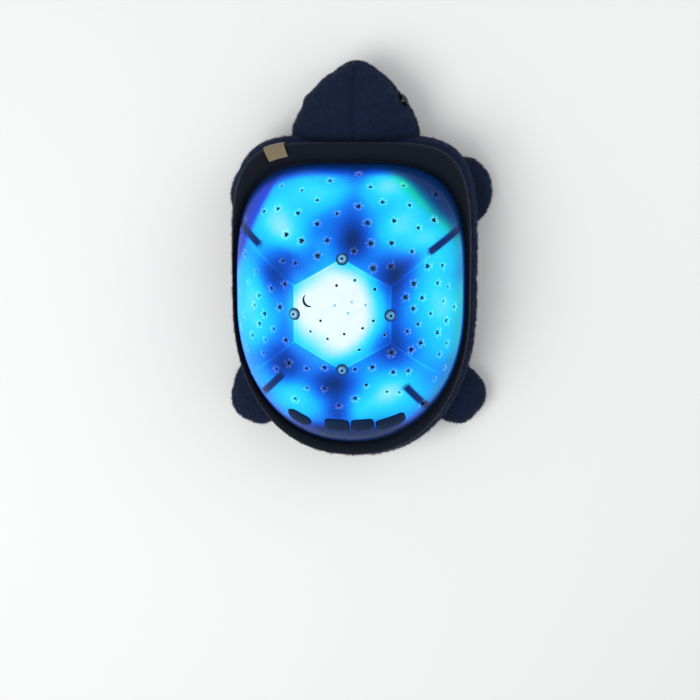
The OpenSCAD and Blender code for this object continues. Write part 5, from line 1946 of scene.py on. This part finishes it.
def lamp_object(name, place, power, size):
    """A square soft lamp whose light falls on the object."""
    light = bpy.data.lights.new(name, "AREA")
    light.energy = power
    light.size = size
    lamp = bpy.data.objects.new(name, light)
    lamp.location = place
    lamp.rotation_euler = (Vector(place) - LAMP_AIM).to_track_quat("Z", "Y").to_euler()
    return lamp


class NIGHTLIGHT_OT_stage(bpy.types.Operator):
    """Makes the camera, the pale floor, the soft lamps and the even fill light"""
    bl_idname = "nightlight.stage"
    bl_label = "Stage"

    def execute(self, context):
        settings = context.scene.nightlight_studio
        scene = context.scene
        scene.view_settings.view_transform = "Standard"
        scene.camera = camera_object()
        scene.collection.objects.link(scene.camera)

        half = FLOOR_SIZE / 2
        corners = [(-half, -half, 0), (half, -half, 0), (half, half, 0), (-half, half, 0)]
        mesh = bpy.data.meshes.new("floor")
        mesh.from_pydata(corners, [], [(0, 1, 2, 3)])
        mesh.materials.append(floor_material(settings))
        floor = bpy.data.objects.new("floor", mesh)
        scene.collection.objects.link(floor)

        for name, place, share, size in LAMPS:
            scene.collection.objects.link(lamp_object(name, place, settings.lamp * share, size))
        scene.world = studio_world(settings)
        return {"FINISHED"}


# ---- Panel and running ---------------------------------------------------------------------------

STEPS = (NIGHTLIGHT_OT_stage, NIGHTLIGHT_OT_shell, NIGHTLIGHT_OT_studs, NIGHTLIGHT_OT_buttons,
         NIGHTLIGHT_OT_body, NIGHTLIGHT_OT_collar, NIGHTLIGHT_OT_head, NIGHTLIGHT_OT_feet,
         NIGHTLIGHT_OT_case)
SETTINGS = {"nightlight_shell": ShellSettings, "nightlight_plush": PlushSettings,
            "nightlight_case": CaseSettings, "nightlight_studio": StudioSettings}


class NIGHTLIGHT_PT_sidebar(bpy.types.Panel):
    """Lists the pieces and their settings"""
    bl_idname = "NIGHTLIGHT_PT_sidebar"
    bl_label = "Night Light"
    bl_space_type = "VIEW_3D"
    bl_region_type = "UI"
    bl_category = "Night Light"

    def draw(self, context):
        for step in STEPS:
            self.layout.operator(step.bl_idname)
        for key, group in SETTINGS.items():
            box = self.layout.box()
            for name in group.__annotations__:
                box.prop(getattr(context.scene, key), name)


def register():
    for group in SETTINGS.values():
        bpy.utils.register_class(group)
    for step in (*STEPS, NIGHTLIGHT_PT_sidebar):
        bpy.utils.register_class(step)
    for key, group in SETTINGS.items():
        setattr(bpy.types.Scene, key, PointerProperty(type=group))


def unregister():
    for key in SETTINGS:
        delattr(bpy.types.Scene, key)
    for step in (*STEPS, NIGHTLIGHT_PT_sidebar):
        bpy.utils.unregister_class(step)
    for group in SETTINGS.values():
        bpy.utils.unregister_class(group)


def main():
    register()
    for step in STEPS:
        family, name = step.bl_idname.split(".")
        getattr(getattr(bpy.ops, family), name)()


if __name__ == "__main__":
    main()
